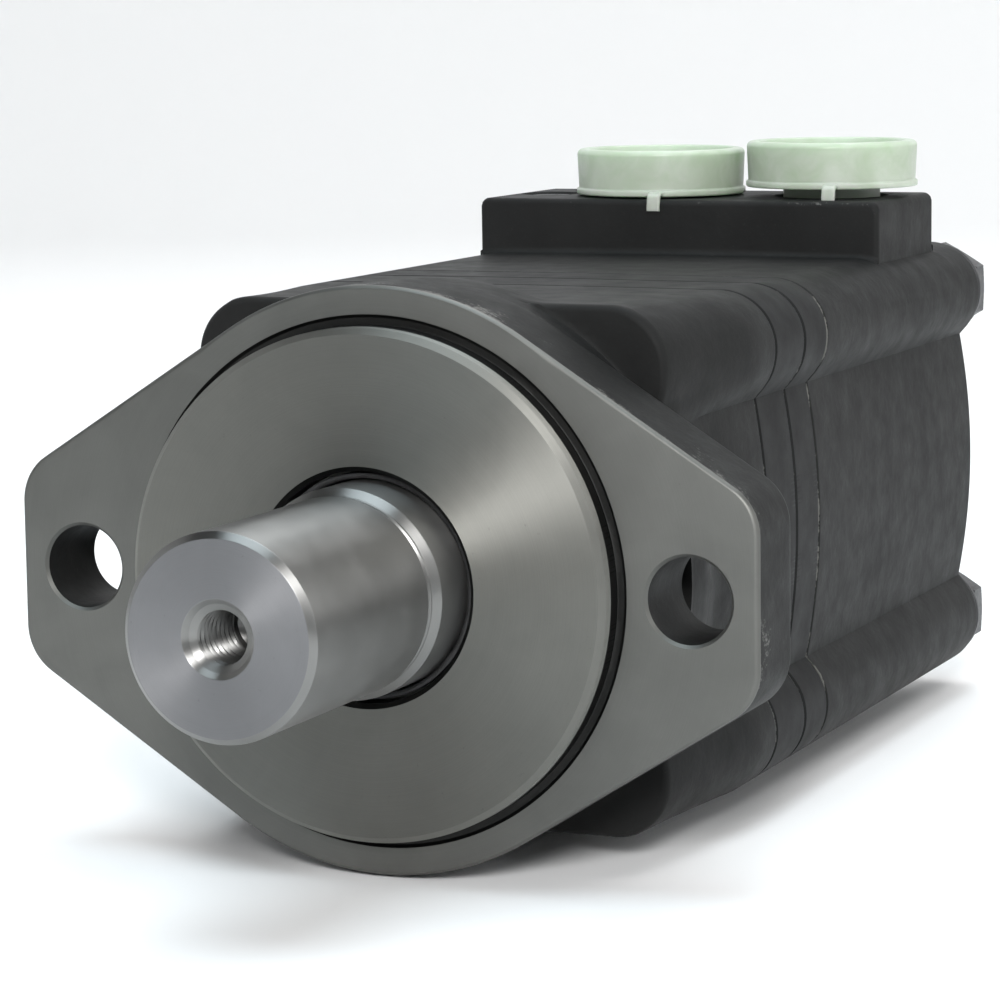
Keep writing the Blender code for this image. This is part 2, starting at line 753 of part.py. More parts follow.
def port_block_mesh(mat):
    """Rectangular boss for the ports, with chamfered edges."""
    bm = bmesh.new()
    bmesh.ops.create_cube(bm, size=1.0)
    low = CORE_Z / 2
    for v in bm.verts:
        v.co.x *= 2 * BLOCK_X
        v.co.y = BLOCK_Y[0] if v.co.y < 0 else BLOCK_Y[1]
        v.co.z = low if v.co.z < 0 else BLOCK_TOP
    edges = [e for e in bm.edges if max(v.co.z for v in e.verts) > BLOCK_TOP - 1]
    bmesh.ops.bevel(bm, geom=edges, offset=1.0, segments=2, affect="EDGES", profile=0.5)
    return finish("port_block", bm, mat)


def valve_housing():
    """Rear casting with the port block, valve cavity and oil passages."""
    mat = MATS["paint"]
    y0, y1 = REAR_Y
    bm = bmesh.new()
    add_loft(
        bm,
        [
            (y0, body_section(0.6)),
            (y0 + 0.6, body_section()),
            (y1 - 2.4, body_section()),
            (y1 - 0.7, body_section(0.7)),
            (y1, body_section(2.4)),
        ],
    )
    obj = finish("valve_housing", bm, mat)
    boolean(obj, port_block_mesh(mat), "UNION")
    cavity_end = CAVITY_NOSE[0][0]
    cavity = [(y0 - PAST, CAVITY_R), (cavity_end, CAVITY_R), *CAVITY_NOSE]
    boolean(obj, rod("cavity", cavity, 30, mat), "DIFFERENCE")
    rods = bolt_cuts(y0 - PAST, y1 + PAST)
    pocket_r, pocket_end = SPRING_POCKET
    rods += [((s * SPRING_X, 0.0), pocket_r, cavity_end - PAST, pocket_end) for s in (-1, 1)]
    for _, y, low_x, _ in PORTS.values():
        rods.append(((low_x, PASSAGE_Z), PASSAGE_R, cavity_end - PAST, y))
    boolean(obj, cutter_rods(rods, 12), "DIFFERENCE")
    above = BLOCK_TOP + PAST
    mouths = [((x, y), PORT_R, PORT_FLOOR, above) for x, y, _, _ in PORTS.values()]
    mouths.append((DRAIN, PLUG_R + BEARING_FIT, PLUG_Z[0] - BEARING_FIT, above))
    boolean(obj, cutter_rods(mouths, 20, "Z"), "DIFFERENCE")
    drops = [((x, y), DROP_R, PASSAGE_Z - 2.0, PORT_FLOOR + 2.0) for _, y, x, _ in PORTS.values()]
    boolean(obj, cutter_rods(drops, 10, "Z"), "DIFFERENCE")
    return tidy(obj, mat)


def hexagon(flat, seg, centre):
    """Hexagon outline sampled at the same angles as a circle of seg points."""
    pts = []
    for i in range(seg):
        t = 2 * math.pi * i / seg
        local = (t + math.pi / 6) % (math.pi / 3) - math.pi / 6
        r = flat / math.cos(local)
        pts.append((centre[0] + r * math.sin(t), centre[1] + r * math.cos(t)))
    return pts


def through_bolts():
    """Four bolts that clamp the stack, with flanged hexagon heads at the rear."""
    seg = 12
    seat = REAR_Y[1] + 0.35
    for k, c in enumerate(body_bolts(), 1):
        bm = bmesh.new()
        add_loft(
            bm,
            [
                (BOLT_TIP_Y, circle(BODY_BOLT_R - 0.8, seg, c)),
                (BOLT_TIP_Y + 1.0, circle(BODY_BOLT_R, seg, c)),
                (seat, circle(BODY_BOLT_R, seg, c)),
                (seat, circle(BOLT_WASHER_R, seg, c)),
                (seat + 1.6, circle(BOLT_WASHER_R, seg, c)),
                (seat + 2.2, hexagon(BOLT_FLAT, seg, c)),
                (seat + 7.8, hexagon(BOLT_FLAT, seg, c)),
                (seat + 8.6, circle(BOLT_FLAT - 0.6, seg, c)),
            ],
        )
        finish(f"through_bolt_{k}", bm, MATS["bolt"])


def drain_plug():
    """Flush socket plug in the case drain beside the ports."""
    x, y = DRAIN
    bm = bmesh.new()
    seg = 12
    low, top = PLUG_Z
    flat, depth = PLUG_SOCKET
    socket = hexagon(flat, seg, (0.0, 0.0))
    add_loft(
        bm,
        [
            (low, circle(PLUG_R - 0.8, seg)),
            (low + 0.8, circle(PLUG_R, seg)),
            (top - 0.5, circle(PLUG_R, seg)),
            (top, circle(PLUG_R - 0.4, seg)),
            (top, socket),
            (top - depth, socket),
        ],
    )
    for v in bm.verts:
        px, pz, py = v.co
        v.co = (x + px, y + py, pz)
    return finish("drain_plug", bm, MATS["bolt"])


def port_cap(side):
    """Push-in protective cap: a wide head, a hollow plug and a pull tab."""
    x, y, _, lift = PORTS[side]
    seg = 28
    base = lift
    top = lift + CAP_H
    bm = bmesh.new()
    add_loft(
        bm,
        [
            (-CAP_PLUG_DEPTH, circle(CAP_PLUG_R - 1.2, seg)),
            (1.0 - CAP_PLUG_DEPTH, circle(CAP_PLUG_R - 0.2, seg)),
            (base, circle(CAP_PLUG_R, seg)),
            (base, circle(CAP_R - 0.3, seg)),
            (base + 0.5, circle(CAP_R, seg)),
            (top - 1.0, circle(CAP_R - 0.1, seg)),
            (top, circle(CAP_R - 0.9, seg)),
            (top, circle(CAP_DISH_R, seg)),
            (top - CAP_DISH_DEPTH, circle(CAP_DISH_R - 0.6, seg)),
        ],
    )
    obj = finish(f"port_cap_{side}", bm, MATS["cap"])
    for v in obj.data.vertices:
        px, pz, py = v.co
        v.co = (px, py, pz)
    obj.data.flip_normals()
    tab = bmesh.new()
    bmesh.ops.create_cube(tab, size=1.0)
    size = Vector(TAB_SIZE)
    centre = Vector((TAB_X, -CAP_R - 0.2, base + 0.5 + size.z / 2))
    for v in tab.verts:
        v.co = centre + v.co * size
    boolean(obj, finish("tab", tab, MATS["cap"]), "UNION")
    tidy(obj, MATS["cap"])
    obj.location = Vector((x, y, BLOCK_TOP)) * MM
    return obj


def clear():
    """Start from an empty scene."""
    for obj in list(bpy.data.objects):
        bpy.data.objects.remove(obj, do_unlink=True)


clear()
MATS = {
    "paint": material("paint", (0.065, 0.064, 0.06), 0.5, 0.15),
    "ring": material("ring", (0.07, 0.07, 0.068), 0.45, 0.3),
    "steel": material("steel", (0.42, 0.42, 0.42), 0.32, 1.0),
    "bright": material("bright", (0.55, 0.55, 0.54), 0.25, 1.0),
    "forged": material("forged", (0.16, 0.155, 0.15), 0.45, 1.0),
    "bronze": material("bronze", (0.45, 0.3, 0.14), 0.35, 1.0),
    "rubber": material("rubber", (0.015, 0.015, 0.015), 0.7, 0.0),
    "bolt": material("bolt", (0.09, 0.09, 0.09), 0.4, 0.8),
    "cap": material("cap", (0.6, 0.68, 0.55), 0.35, 0.0),
}
front_housing()
geroler_ring()
geroler_rollers()
star()
drives()
output_shaft()
bearing("front", FRONT_BEARING, FRONT_BEARING_ROLLERS)
bearing("rear", REAR_BEARING, REAR_BEARING_ROLLERS)
seals()
wear_plate()
valve_plate()
disc_valve()
balance_ring()
spring("balance_spring_1", -SPRING_X)
spring("balance_spring_2", SPRING_X)
valve_housing()
through_bolts()
drain_plug()
port_cap("left")
port_cap("right")
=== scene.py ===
"""Looks of a roller-gerotor hydraulic motor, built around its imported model.

The pieces are measured in millimetres. The stage, the lights and the camera are in metres.
"""

import math

import bmesh
import bpy
import numpy as np
from mathutils import Matrix, Vector


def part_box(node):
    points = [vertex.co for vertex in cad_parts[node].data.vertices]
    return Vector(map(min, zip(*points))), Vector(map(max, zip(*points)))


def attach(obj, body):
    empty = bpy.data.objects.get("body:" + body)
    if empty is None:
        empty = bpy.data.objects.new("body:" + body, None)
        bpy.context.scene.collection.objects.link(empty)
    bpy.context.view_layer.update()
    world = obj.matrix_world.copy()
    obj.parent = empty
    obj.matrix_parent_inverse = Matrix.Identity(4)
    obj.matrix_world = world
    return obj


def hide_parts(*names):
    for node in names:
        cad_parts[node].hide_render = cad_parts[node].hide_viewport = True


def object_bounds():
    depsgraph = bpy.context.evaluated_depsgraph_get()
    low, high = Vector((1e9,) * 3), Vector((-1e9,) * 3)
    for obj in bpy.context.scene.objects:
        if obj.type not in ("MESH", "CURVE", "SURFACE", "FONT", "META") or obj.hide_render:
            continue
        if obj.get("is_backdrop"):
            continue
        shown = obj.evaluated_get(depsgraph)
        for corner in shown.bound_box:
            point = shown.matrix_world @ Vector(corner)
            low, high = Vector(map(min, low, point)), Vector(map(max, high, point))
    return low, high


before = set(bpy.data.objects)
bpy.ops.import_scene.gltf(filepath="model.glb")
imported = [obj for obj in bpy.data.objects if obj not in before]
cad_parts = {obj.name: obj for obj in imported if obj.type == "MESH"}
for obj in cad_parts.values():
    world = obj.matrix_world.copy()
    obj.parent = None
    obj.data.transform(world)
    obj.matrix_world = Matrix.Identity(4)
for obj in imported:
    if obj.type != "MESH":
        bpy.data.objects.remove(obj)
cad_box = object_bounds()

MM = 0.001

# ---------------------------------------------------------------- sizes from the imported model


def node_box(node):
    """A CAD node's corners in millimetres."""
    low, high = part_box(node)
    return low / MM, high / MM


FRONT_LOW, FRONT_HIGH = node_box("front_housing")
RING_LOW, RING_HIGH = node_box("geroler_ring")
PLATE_LOW, PLATE_HIGH = node_box("valve_plate")
REAR_LOW, REAR_HIGH = node_box("valve_housing")
SHAFT_LOW, SHAFT_HIGH = node_box("output_shaft")
BOLT_LOW, BOLT_HIGH = node_box("through_bolt_1")
PLUG_LOW, PLUG_HIGH = node_box("drain_plug")
DUST_LOW, DUST_HIGH = node_box("dust_seal")

# Flange and pilot, with the mouth of the shaft's recess and the undercut at the pilot's foot
HALF_W = FRONT_HIGH.x
ARC_R = FRONT_HIGH.z
PILOT_H = -FRONT_LOW.y
PILOT_R = 41.275
FLANGE_T = 16.0
FLANGE_SLOPE = math.radians(57.5)
FLANGE_CORNER_R = 9.0
BOLT_X = 53.2
BOLT_HOLE_R = 6.9
MOUTH_R = 19.4
UNDERCUT_R = 42.5
UNDERCUT_DEPTH = 0.5
PILOT_CHAMFER = 1.0
FLANGE_FRONT_EDGE = 0.8
FLANGE_REAR_EDGE = 1.6
NECK_FILLET = 2.6

# Body section, its through bolts' holes, and the neck behind the flange as (y, radius) stations
CORE_X = 44.5
CORE_Z = 43.0
SIDE_CROWN_R = 98.0
TOP_CROWN_R = 260.0
LOBE_R = 9.8
BOLT_C = ((BOLT_LOW.x + BOLT_HIGH.x) / 2, (BOLT_LOW.z + BOLT_HIGH.z) / 2)
FRONT_CORE = 43.0
FRONT_LOBE_C = (32.2, 33.6)
SHELL_FRONT = 20.4
BLEND = 4.0
BODY_HOLE_R = 5.4
NECK = ((0.0, 47.0), (26.0, 47.0), (31.0, 45.5), (40.0, 42.0), (80.0, 42.0))

# Port block, its ports and drain, and the passages and cavity behind them
BLOCK_X = 40.7
BLOCK_Y = (136.0, 172.0)
BLOCK_TOP = REAR_HIGH.z
BLOCK_CORNER_R = 1.6
BLOCK_FILLET = 1.4
BLOCK_EDGE = 1.2
PORT_FLOOR = 42.0
PORT_FEET = (-9.3, 19.5)
PORT_THREAD_R = 9.65
PORT_THREAD_DEPTH = 0.45
PORT_PITCH = 1.4
DRAIN_FLOOR = 43.0
DRAIN_R = 5.4
DROP_R = 4.4
PASSAGE_R = 4.0
PASSAGE_Z = 22.0
CAVITY_END = 111.6
CAVITY_R = 34.0
SPRING_X = 21.0
SPRING_POCKET_R = 4.2
REAR_EDGE = 2.4

# Bores of the gerotor ring and of the valve plate
PITCH_R = 30.0
POCKET_R = 6.73
ROLLERS = 7
RING_BORE = 29.6
WINDOW_CIRCLE_R = 26.0
WINDOW_R = 3.2
PLATE_BORE_R = 15.2
STACK_INSIDE_R = 37.5

# Shaft, its seats, its socket at the rear and the thread in its end
SHAFT_R = 15.875
COLLAR_R = 16.9
FRONT_SEAT_R = 17.5
SHOULDER_R = 26.0
REAR_SEAT_R = 24.0
SOCKET_MOUTH_R = 12.9
THREAD_R = 4.15
THREAD_DEPTH = 0.55
THREAD_PITCH = 1.25
GROOVE_DEPTH = 0.7

# Bore of the front casting as (y, radius) steps from the rear to the front
FRONT_BORE = (
    (55.8, 37.4),
    (55.8, 36.6),
    (33.6, 36.6),
    (33.6, 29.5),
    (22.4, 29.5),
    (22.4, 31.4),
    (7.6, 31.4),
    (7.6, 22.0),
    (0.8, 22.0),
    (0.8, 17.6),
    (-0.5, 17.6),
    (-0.5, 18.6),
    (-4.4, 18.6),
)
# Groove for the ring in its rear face: inner radius, outer radius and depth
O_RING_GROOVE = (38.9, 41.1, 1.8)

# Bolts and the drain plug: a FLAT is half the width across the flats
HEX_FLAT = 7.9
WASHER_R = 9.4
SHANK_R = 5.0
SOCKET_FLAT = 2.4
PLUG_R = 5.0

# Port caps: the head's height, the plug's radii below it, and the pull tab's place and width
CAP_HEAD_H = 8.8
CAP_STEM_R = 9.4
CAP_BORE_R = 7.4
TAB_X = 5.0
TAB_WIDTH = 2.6
TAB_THICKNESS = 0.8
# Outline of the tab's section, as shares of half its width and half its thickness
TAB_SECTION = ((-1, -0.5), (-0.8, -1), (0.8, -1), (1, -0.5), (1, 0.5), (0.8, 1), (-0.8, 1), (-1, 0.5))

# Points round each outline: even steps with more where the flange and the port block turn sharply
EVEN_STEPS = 432


def polar_angles():
    """Angles shared by every outline, in radians."""
    even = np.arange(EVEN_STEPS) * 2 * math.pi / EVEN_STEPS
    tight = [np.radians(c + s) for c in (8.0, 13.0, 52.0) for s in np.arange(-3.0, 3.1, 0.5)]
    tight = np.unique(np.round(tight, 6))
    mirrored = [tight, math.pi - tight, math.pi + tight, 2 * math.pi - tight]
    merged = np.sort(np.concatenate([even, *mirrored]) % (2 * math.pi))
    gap = np.diff(merged, append=merged[0] + 2 * math.pi)
    return merged[gap > math.radians(0.12)]


PHI = polar_angles()
COS = np.cos(PHI)
SIN = np.sin(PHI)

# ---------------------------------------------------------------- outlines as distances at the angles PHI


def smooth_max(a, b, width=BLEND):
    """The larger of two outlines with their meeting line rounded."""
    near = np.clip(width - np.abs(a - b), 0.0, None) / width
    return np.maximum(a, b) + near * near * width / 4


def far_side(cx, cz, radius, cos=COS, sin=SIN):
    """Distance to the far side of a circle in the section plane, zero where a ray misses it."""
    along = cx * cos + cz * sin
    inside = radius**2 - (cx * cx + cz * cz - along * along)
    return np.where((inside > 0) & (along > 0), along + np.sqrt(np.clip(inside, 0, None)), 0.0)


def flange_outline():
    """Two-bolt flange: a round middle, straight slopes and rounded ends."""
    c, s = np.abs(COS), np.abs(SIN)
    angle = np.arctan2(s, c)
    cx = HALF_W - FLANGE_CORNER_R
    run = ARC_R - FLANGE_CORNER_R - cx * math.cos(FLANGE_SLOPE)
    cz = run / math.sin(FLANGE_SLOPE)
    start = math.atan2(cz, HALF_W)
    end_x = cx + FLANGE_CORNER_R * math.cos(FLANGE_SLOPE)
    end_z = cz + FLANGE_CORNER_R * math.sin(FLANGE_SLOPE)
    stop = math.atan2(end_z, end_x)
    corner = far_side(cx, cz, FLANGE_CORNER_R, c, s)
    line = ARC_R / np.cos(angle - FLANGE_SLOPE)
    flat = HALF_W / np.maximum(c, 0.2)
    straight = np.where(angle < FLANGE_SLOPE, line, ARC_R)
    return np.where(angle < start, flat, np.where(angle < stop, corner, straight))


def bridged(outline, sides):
    """Bridge the hollows beside the lobes: fully above and below, and by a share at the sides."""
    points = np.stack([outline * COS, outline * SIN], 1)
    start = int(np.argmax(outline))
    chain = []
    for k in [*np.roll(np.arange(len(PHI)), -start), start]:
        while len(chain) > 1:
            (ax, az), (bx, bz), (cx, cz) = points[chain[-2]], points[chain[-1]], points[k]
            if (bx - ax) * (cz - bz) - (bz - az) * (cx - bx) > 0:
                break
            chain.pop()
        chain.append(int(k))
    full = outline.copy()
    for a, b in zip(chain, chain[1:]):
        between = (np.arange(a + 1, b if b > a else b + len(PHI))) % len(PHI)
        (ax, az), (bx, bz) = points[a], points[b]
        reach = ax * bz - az * bx
        full[between] = reach / (COS[between] * (bz - az) - SIN[between] * (bx - ax))
    upright = np.clip((np.abs(SIN) - 0.6) / 0.2, 0.0, 1.0)
    return outline + (full - outline) * (sides + (1 - sides) * upright)


def body_outline(centre=BOLT_C, half_x=CORE_X, half_z=CORE_Z, sides=0.2):
    """The body: a crowned square with a round lobe at each through bolt."""
    c, s = np.abs(COS), np.abs(SIN)
    crowns = []
    for half, radius, along, across in ((half_x, SIDE_CROWN_R, c, s), (half_z, TOP_CROWN_R, s, c)):
        back = radius - half
        crowns.append(np.sqrt(radius**2 - (back * across) ** 2) - back * along)
    return bridged(smooth_max(np.minimum(*crowns), far_side(*centre, LOBE_R, c, s)), sides)


def block_outline():
    """The port block seen along the shaft: a box above the axis with rounded top corners."""
    up = np.maximum(SIN, 1e-6)
    box = np.minimum(BLOCK_X / np.maximum(np.abs(COS), 1e-6), BLOCK_TOP / up)
    cx, cz = BLOCK_X - BLOCK_CORNER_R, BLOCK_TOP - BLOCK_CORNER_R
    turn = far_side(cx, cz, BLOCK_CORNER_R, np.abs(COS), SIN)
    angle = np.arctan2(SIN, np.abs(COS))
    inside = (angle > math.atan2(cz, BLOCK_X)) & (angle < math.atan2(BLOCK_TOP, cx))
    box = np.where(inside, turn, box)
    return np.where(SIN > 0.05, box, 0.0)


def pocket_outline():
    """Bore of the gerotor ring: round, with a pocket round each roller."""
    bore = np.full(len(PHI), RING_BORE)
    for k in range(ROLLERS):
        t = k * 2 * math.pi / ROLLERS
        pocket = far_side(PITCH_R * math.sin(t), PITCH_R * math.cos(t), POCKET_R)
        bore = np.maximum(bore, pocket)
    return bore


def rounded(corners, steps=4):
    """An open line through (u, v, radius) corners, with an arc at each corner that has a radius."""
    out = []
    for i, (u, v, radius) in enumerate(corners):
        p = np.array((u, v), float)
        if radius == 0 or i in (0, len(corners) - 1):
            out.append((u, v))
            continue
        a = np.array(corners[i - 1][:2]) - p
        b = np.array(corners[i + 1][:2]) - p
        len_a, len_b = np.linalg.norm(a), np.linalg.norm(b)
        a, b = a / len_a, b / len_b
        half = math.acos(np.clip(a @ b, -1.0, 1.0)) / 2
        cut = min(radius / math.tan(half), 0.48 * len_a, 0.48 * len_b)
        true = cut * math.tan(half)
        centre = p + (a + b) / np.linalg.norm(a + b) * true / math.sin(half)
        first, last = p + a * cut - centre, p + b * cut - centre
        t0 = math.atan2(first[1], first[0])
        turn = (math.atan2(last[1], last[0]) - t0 + math.pi) % (2 * math.pi) - math.pi
        for share in np.linspace(0.0, 1.0, steps + 1):
            t = t0 + turn * share
            out.append((centre[0] + true * math.cos(t), centre[1] + true * math.sin(t)))
    return out


# ---------------------------------------------------------------- meshes


def ring_at(y, radius):
    """A ring of points about the shaft axis at one station."""
    r = np.broadcast_to(np.asarray(radius, float), PHI.shape)
    return np.stack([r * COS, np.full(len(PHI), float(y)), r * SIN], 1)


def round_ring(y, radius, seg, centre=(0.0, 0.0)):
    """A ring of seg points about a line along Y; radius may hold seg values."""
    t = np.arange(seg) * 2 * math.pi / seg
    r = np.broadcast_to(np.asarray(radius, float), t.shape)
    return np.stack([centre[0] + r * np.cos(t), np.full(seg, float(y)), centre[1] + r * np.sin(t)], 1)


def mesh_through(name, rings, closed=False):
    """A mesh through rings of equal length: a loop if closed, otherwise with both ends filled."""
    count = len(rings[0])
    total = len(rings)
    i = np.arange(count)
    j = (i + 1) % count
    faces = []
    for k in range(total if closed else total - 1):
        a = k * count
        b = (k + 1) % total * count
        faces += np.stack([a + i, a + j, b + j, b + i], 1).tolist()
    if not closed:
        faces.append(list(range(count))[::-1])
        faces.append(list(range((total - 1) * count, total * count)))
    mesh = bpy.data.meshes.new(name)
    mesh.from_pydata((np.concatenate(rings) * MM).tolist(), [], faces)
    return outward(mesh)


def outward(mesh):
    """Weld stray points and turn every face outwards."""
    bm = bmesh.new()
    bm.from_mesh(mesh)
    bmesh.ops.remove_doubles(bm, verts=bm.verts, dist=1e-7)
    bmesh.ops.dissolve_degenerate(bm, edges=bm.edges, dist=1e-7)
    bmesh.ops.recalc_face_normals(bm, faces=bm.faces)
    bm.to_mesh(mesh)
    bm.free()
    return mesh


def join_meshes(name, meshes):
    """Several separate closed meshes as one."""
    bm = bmesh.new()
    for mesh in meshes:
        bm.from_mesh(mesh)
        bpy.data.meshes.remove(mesh)
    out = bpy.data.meshes.new(name)
    bm.to_mesh(out)
    bm.free()
    return out


def along_z(mesh, origin=(0.0, 0.0, 0.0)):
    """Stand a mesh that was built along Y upright, and move it to origin."""
    shift = Vector(origin) * MM
    for v in mesh.vertices:
        x, y, z = v.co
        v.co = Vector((x, -z, y)) + shift
    return outward(mesh)


def make_object(name, mesh):
    """Put a mesh into the scene."""
    obj = bpy.data.objects.new(name, mesh)
    bpy.context.scene.collection.objects.link(obj)
    return obj


def boolean(obj, mesh, operation="DIFFERENCE"):
    """Cut obj with a closed mesh, or join the two, and keep the result."""
    cutter = make_object("cutter", mesh)
    mod = obj.modifiers.new("cut", "BOOLEAN")
    mod.operation = operation
    mod.solver = "EXACT"
    mod.object = cutter
    bpy.context.view_layer.update()
    graph = bpy.context.evaluated_depsgraph_get()
    result = bpy.data.meshes.new_from_object(obj.evaluated_get(graph))
    obj.modifiers.clear()
    old = obj.data
    obj.data = result
    bpy.data.meshes.remove(old)
    bpy.data.objects.remove(cutter, do_unlink=True)
    bpy.data.meshes.remove(mesh)
    return obj


def hole_cutter(y0, y1, radius, centre, chamfer=0.0, seg=48):
    """A cutter along Y that runs past both faces, with a chamfered mouth at each."""
    past = 2.0
    steps = [
        (y0 - past, radius + chamfer + past),
        (y0 + chamfer, radius),
        (y1 - chamfer, radius),
        (y1 + past, radius + chamfer + past),
    ]
    if chamfer == 0.0:
        steps = [(y0 - past, radius), (y1 + past, radius)]
    return mesh_through("hole", [round_ring(y, r, seg, centre) for y, r in steps])


def shade(obj, sharp=34.0):
    """Smooth shading that keeps flat faces flat and hard edges hard."""
    obj.data.shade_smooth()
    obj.data.set_sharp_from_angle(angle=math.radians(sharp))
    mod = obj.modifiers.new("face_weights", "WEIGHTED_NORMAL")
    mod.keep_sharp = True
    mod.weight = 80


def thread_rings(y0, y1, minor, depth, pitch, seg, per_turn=6):
    """Rings of a helical internal thread that fades in and out over a third of a turn."""
    t = np.arange(seg) / seg
    rings = []
    for y in np.linspace(y0, y1, max(int(abs(y1 - y0) / pitch * per_turn), 2)):
        wave = np.abs(((y / pitch - t) % 1.0) * 2 - 1)
        fade = min(1.0, abs(y - y0) * 3 / pitch, abs(y1 - y) * 3 / pitch)
        rings.append((y, minor + depth * fade * np.clip(wave * 1.3 - 0.15, 0.0, 1.0)))
    return rings


# ---------------------------------------------------------------- materials


class Tree:
    """A material's node tree with short ways to add nodes."""

    def __init__(self, name, base, roughness, metallic):
        self.material = bpy.data.materials.new(name)
        self.material.use_nodes = True
        self.nodes = self.material.node_tree.nodes
        self.links = self.material.node_tree.links
        self.shader = self.nodes["Principled BSDF"]
        self.set("Base Color", (*base, 1.0))
        self.set("Roughness", roughness)
        self.set("Metallic", metallic)
        self.coords = self.nodes.new("ShaderNodeTexCoord").outputs["Object"]

    def set(self, socket, value):
        """Give one of the shader's inputs a plain value."""
        self.shader.inputs[socket].default_value = value

    def node(self, kind, inputs=(), **settings):
        """Add a node; inputs maps a socket to a value or to another node's output."""
        node = self.nodes.new(kind)
        for key, value in settings.items():
            setattr(node, key, value)
        for key, value in dict(inputs).items():
            if isinstance(value, bpy.types.NodeSocket):
                self.links.new(value, node.inputs[key])
            else:
                node.inputs[key].default_value = value
        return node

    def noise(self, scale, detail=4.0, vector=None, rough=0.55, distortion=0.0):
        """Noise in three dimensions, scale in features per metre."""
        inputs = {
            "Vector": vector or self.coords,
            "Scale": scale,
            "Detail": detail,
            "Roughness": rough,
            "Distortion": distortion,
        }
        return self.node("ShaderNodeTexNoise", inputs).outputs["Fac"]

    def lines(self, value, scale, detail=2.0):
        """Noise along one number, for turned or ground grooves."""
        inputs = {"W": value, "Scale": scale, "Detail": detail, "Roughness": 0.6}
        return self.node("ShaderNodeTexNoise", inputs, noise_dimensions="1D").outputs["Fac"]

    def math(self, operation, a, b=0.0):
        """Combine two numbers."""
        return self.node("ShaderNodeMath", {0: a, 1: b}, operation=operation).outputs[0]

    def ramp(self, value, low, high, out_low=0.0, out_high=1.0):
        """Map value from one range to another, clamped."""
        inputs = {"Value": value, 1: low, 2: high, 3: out_low, 4: out_high}
        return self.node("ShaderNodeMapRange", inputs).outputs[0]

    def mix(self, factor, a, b):
        """Blend two colours by the output factor."""
        node = self.node("ShaderNodeMix", data_type="RGBA")
        self.links.new(factor, node.inputs[0])
        for key, colour in ((6, a), (7, b)):
            if isinstance(colour, bpy.types.NodeSocket):
                self.links.new(colour, node.inputs[key])
            else:
                node.inputs[key].default_value = (*colour, 1.0)
        return node.outputs[2]

    def drive(self, socket, output):
        """Feed one of the shader's inputs from a node's output."""
        self.links.new(output, self.shader.inputs[socket])

    def bump(self, *layers):
        """Stack (height, strength, distance in millimetres) layers into the shader's normal."""
        normal = None
        for height, strength, distance in layers:
            inputs = {"Height": height, "Strength": strength, "Distance": distance * MM}
            if normal is not None:
                inputs["Normal"] = normal
            normal = self.node("ShaderNodeBump", inputs).outputs["Normal"]
        self.drive("Normal", normal)

    def radius(self, centre=(0.0, 0.0)):
        """Distance from a line along Y, in metres."""
        moved = self.node(
            "ShaderNodeVectorMath",
            {0: self.coords, 1: (-centre[0] * MM, 0.0, -centre[1] * MM)},
            operation="ADD",
        ).outputs[0]
        flat = self.node("ShaderNodeVectorMath", {0: moved, 1: (1.0, 0.0, 1.0)}, operation="MULTIPLY")
        return self.node("ShaderNodeVectorMath", {0: flat.outputs[0]}, operation="LENGTH").outputs["Value"]

    def axis(self, name):
        """One coordinate of the surface point, in metres."""
        return self.node("ShaderNodeSeparateXYZ", {0: self.coords}).outputs[name]

    def wear(self):
        """The wear painted on a mesh's edges, broken up into chips and rubs."""
        painted = self.node("ShaderNodeAttribute", attribute_name="wear").outputs["Fac"]
        chips = self.noise(1400.0, 6.0, rough=0.7)
        patches = self.noise(120.0, 3.0)
        rub = self.math("MULTIPLY", painted, self.ramp(patches, 0.35, 0.65, 0.35, 1.0))
        return self.ramp(self.math("ADD", rub, chips), 1.12, 1.26)


def painted_metal(name, base, grain):
    """Satin dark paint over a casting or a plate: grain, faint dust and rubbed edges."""
    tree = Tree(name, base, 0.42, 0.0)
    tree.set("Specular IOR Level", 0.06)
    clouds = tree.noise(38.0, 5.0)
    specks = tree.noise(2600.0, 3.0)
    lighter = tuple(c * 1.25 + 0.001 for c in base)
    darker = tuple(c * 0.85 for c in base)
    paint = tree.mix(tree.ramp(clouds, 0.3, 0.7), darker, lighter)
    paint = tree.mix(tree.ramp(specks, 0.64, 0.82, 0.0, 0.3), paint, (0.07, 0.07, 0.068))
    worn = tree.wear()
    tree.drive("Base Color", tree.mix(worn, paint, (0.12, 0.118, 0.11)))
    tree.drive("Roughness", tree.ramp(tree.noise(180.0, 5.0), 0.3, 0.7, 0.44, 0.56))
    tree.drive("Metallic", tree.math("MULTIPLY", worn, 0.7))
    cast = tree.noise(620.0, 6.0, rough=0.6)
    peel = tree.noise(1900.0, 2.0)
    dents = tree.noise(70.0, 3.0)
    tree.bump((dents, 0.08, 0.5), (cast, grain, 0.2), (peel, 0.16, 0.05))
    return tree.material


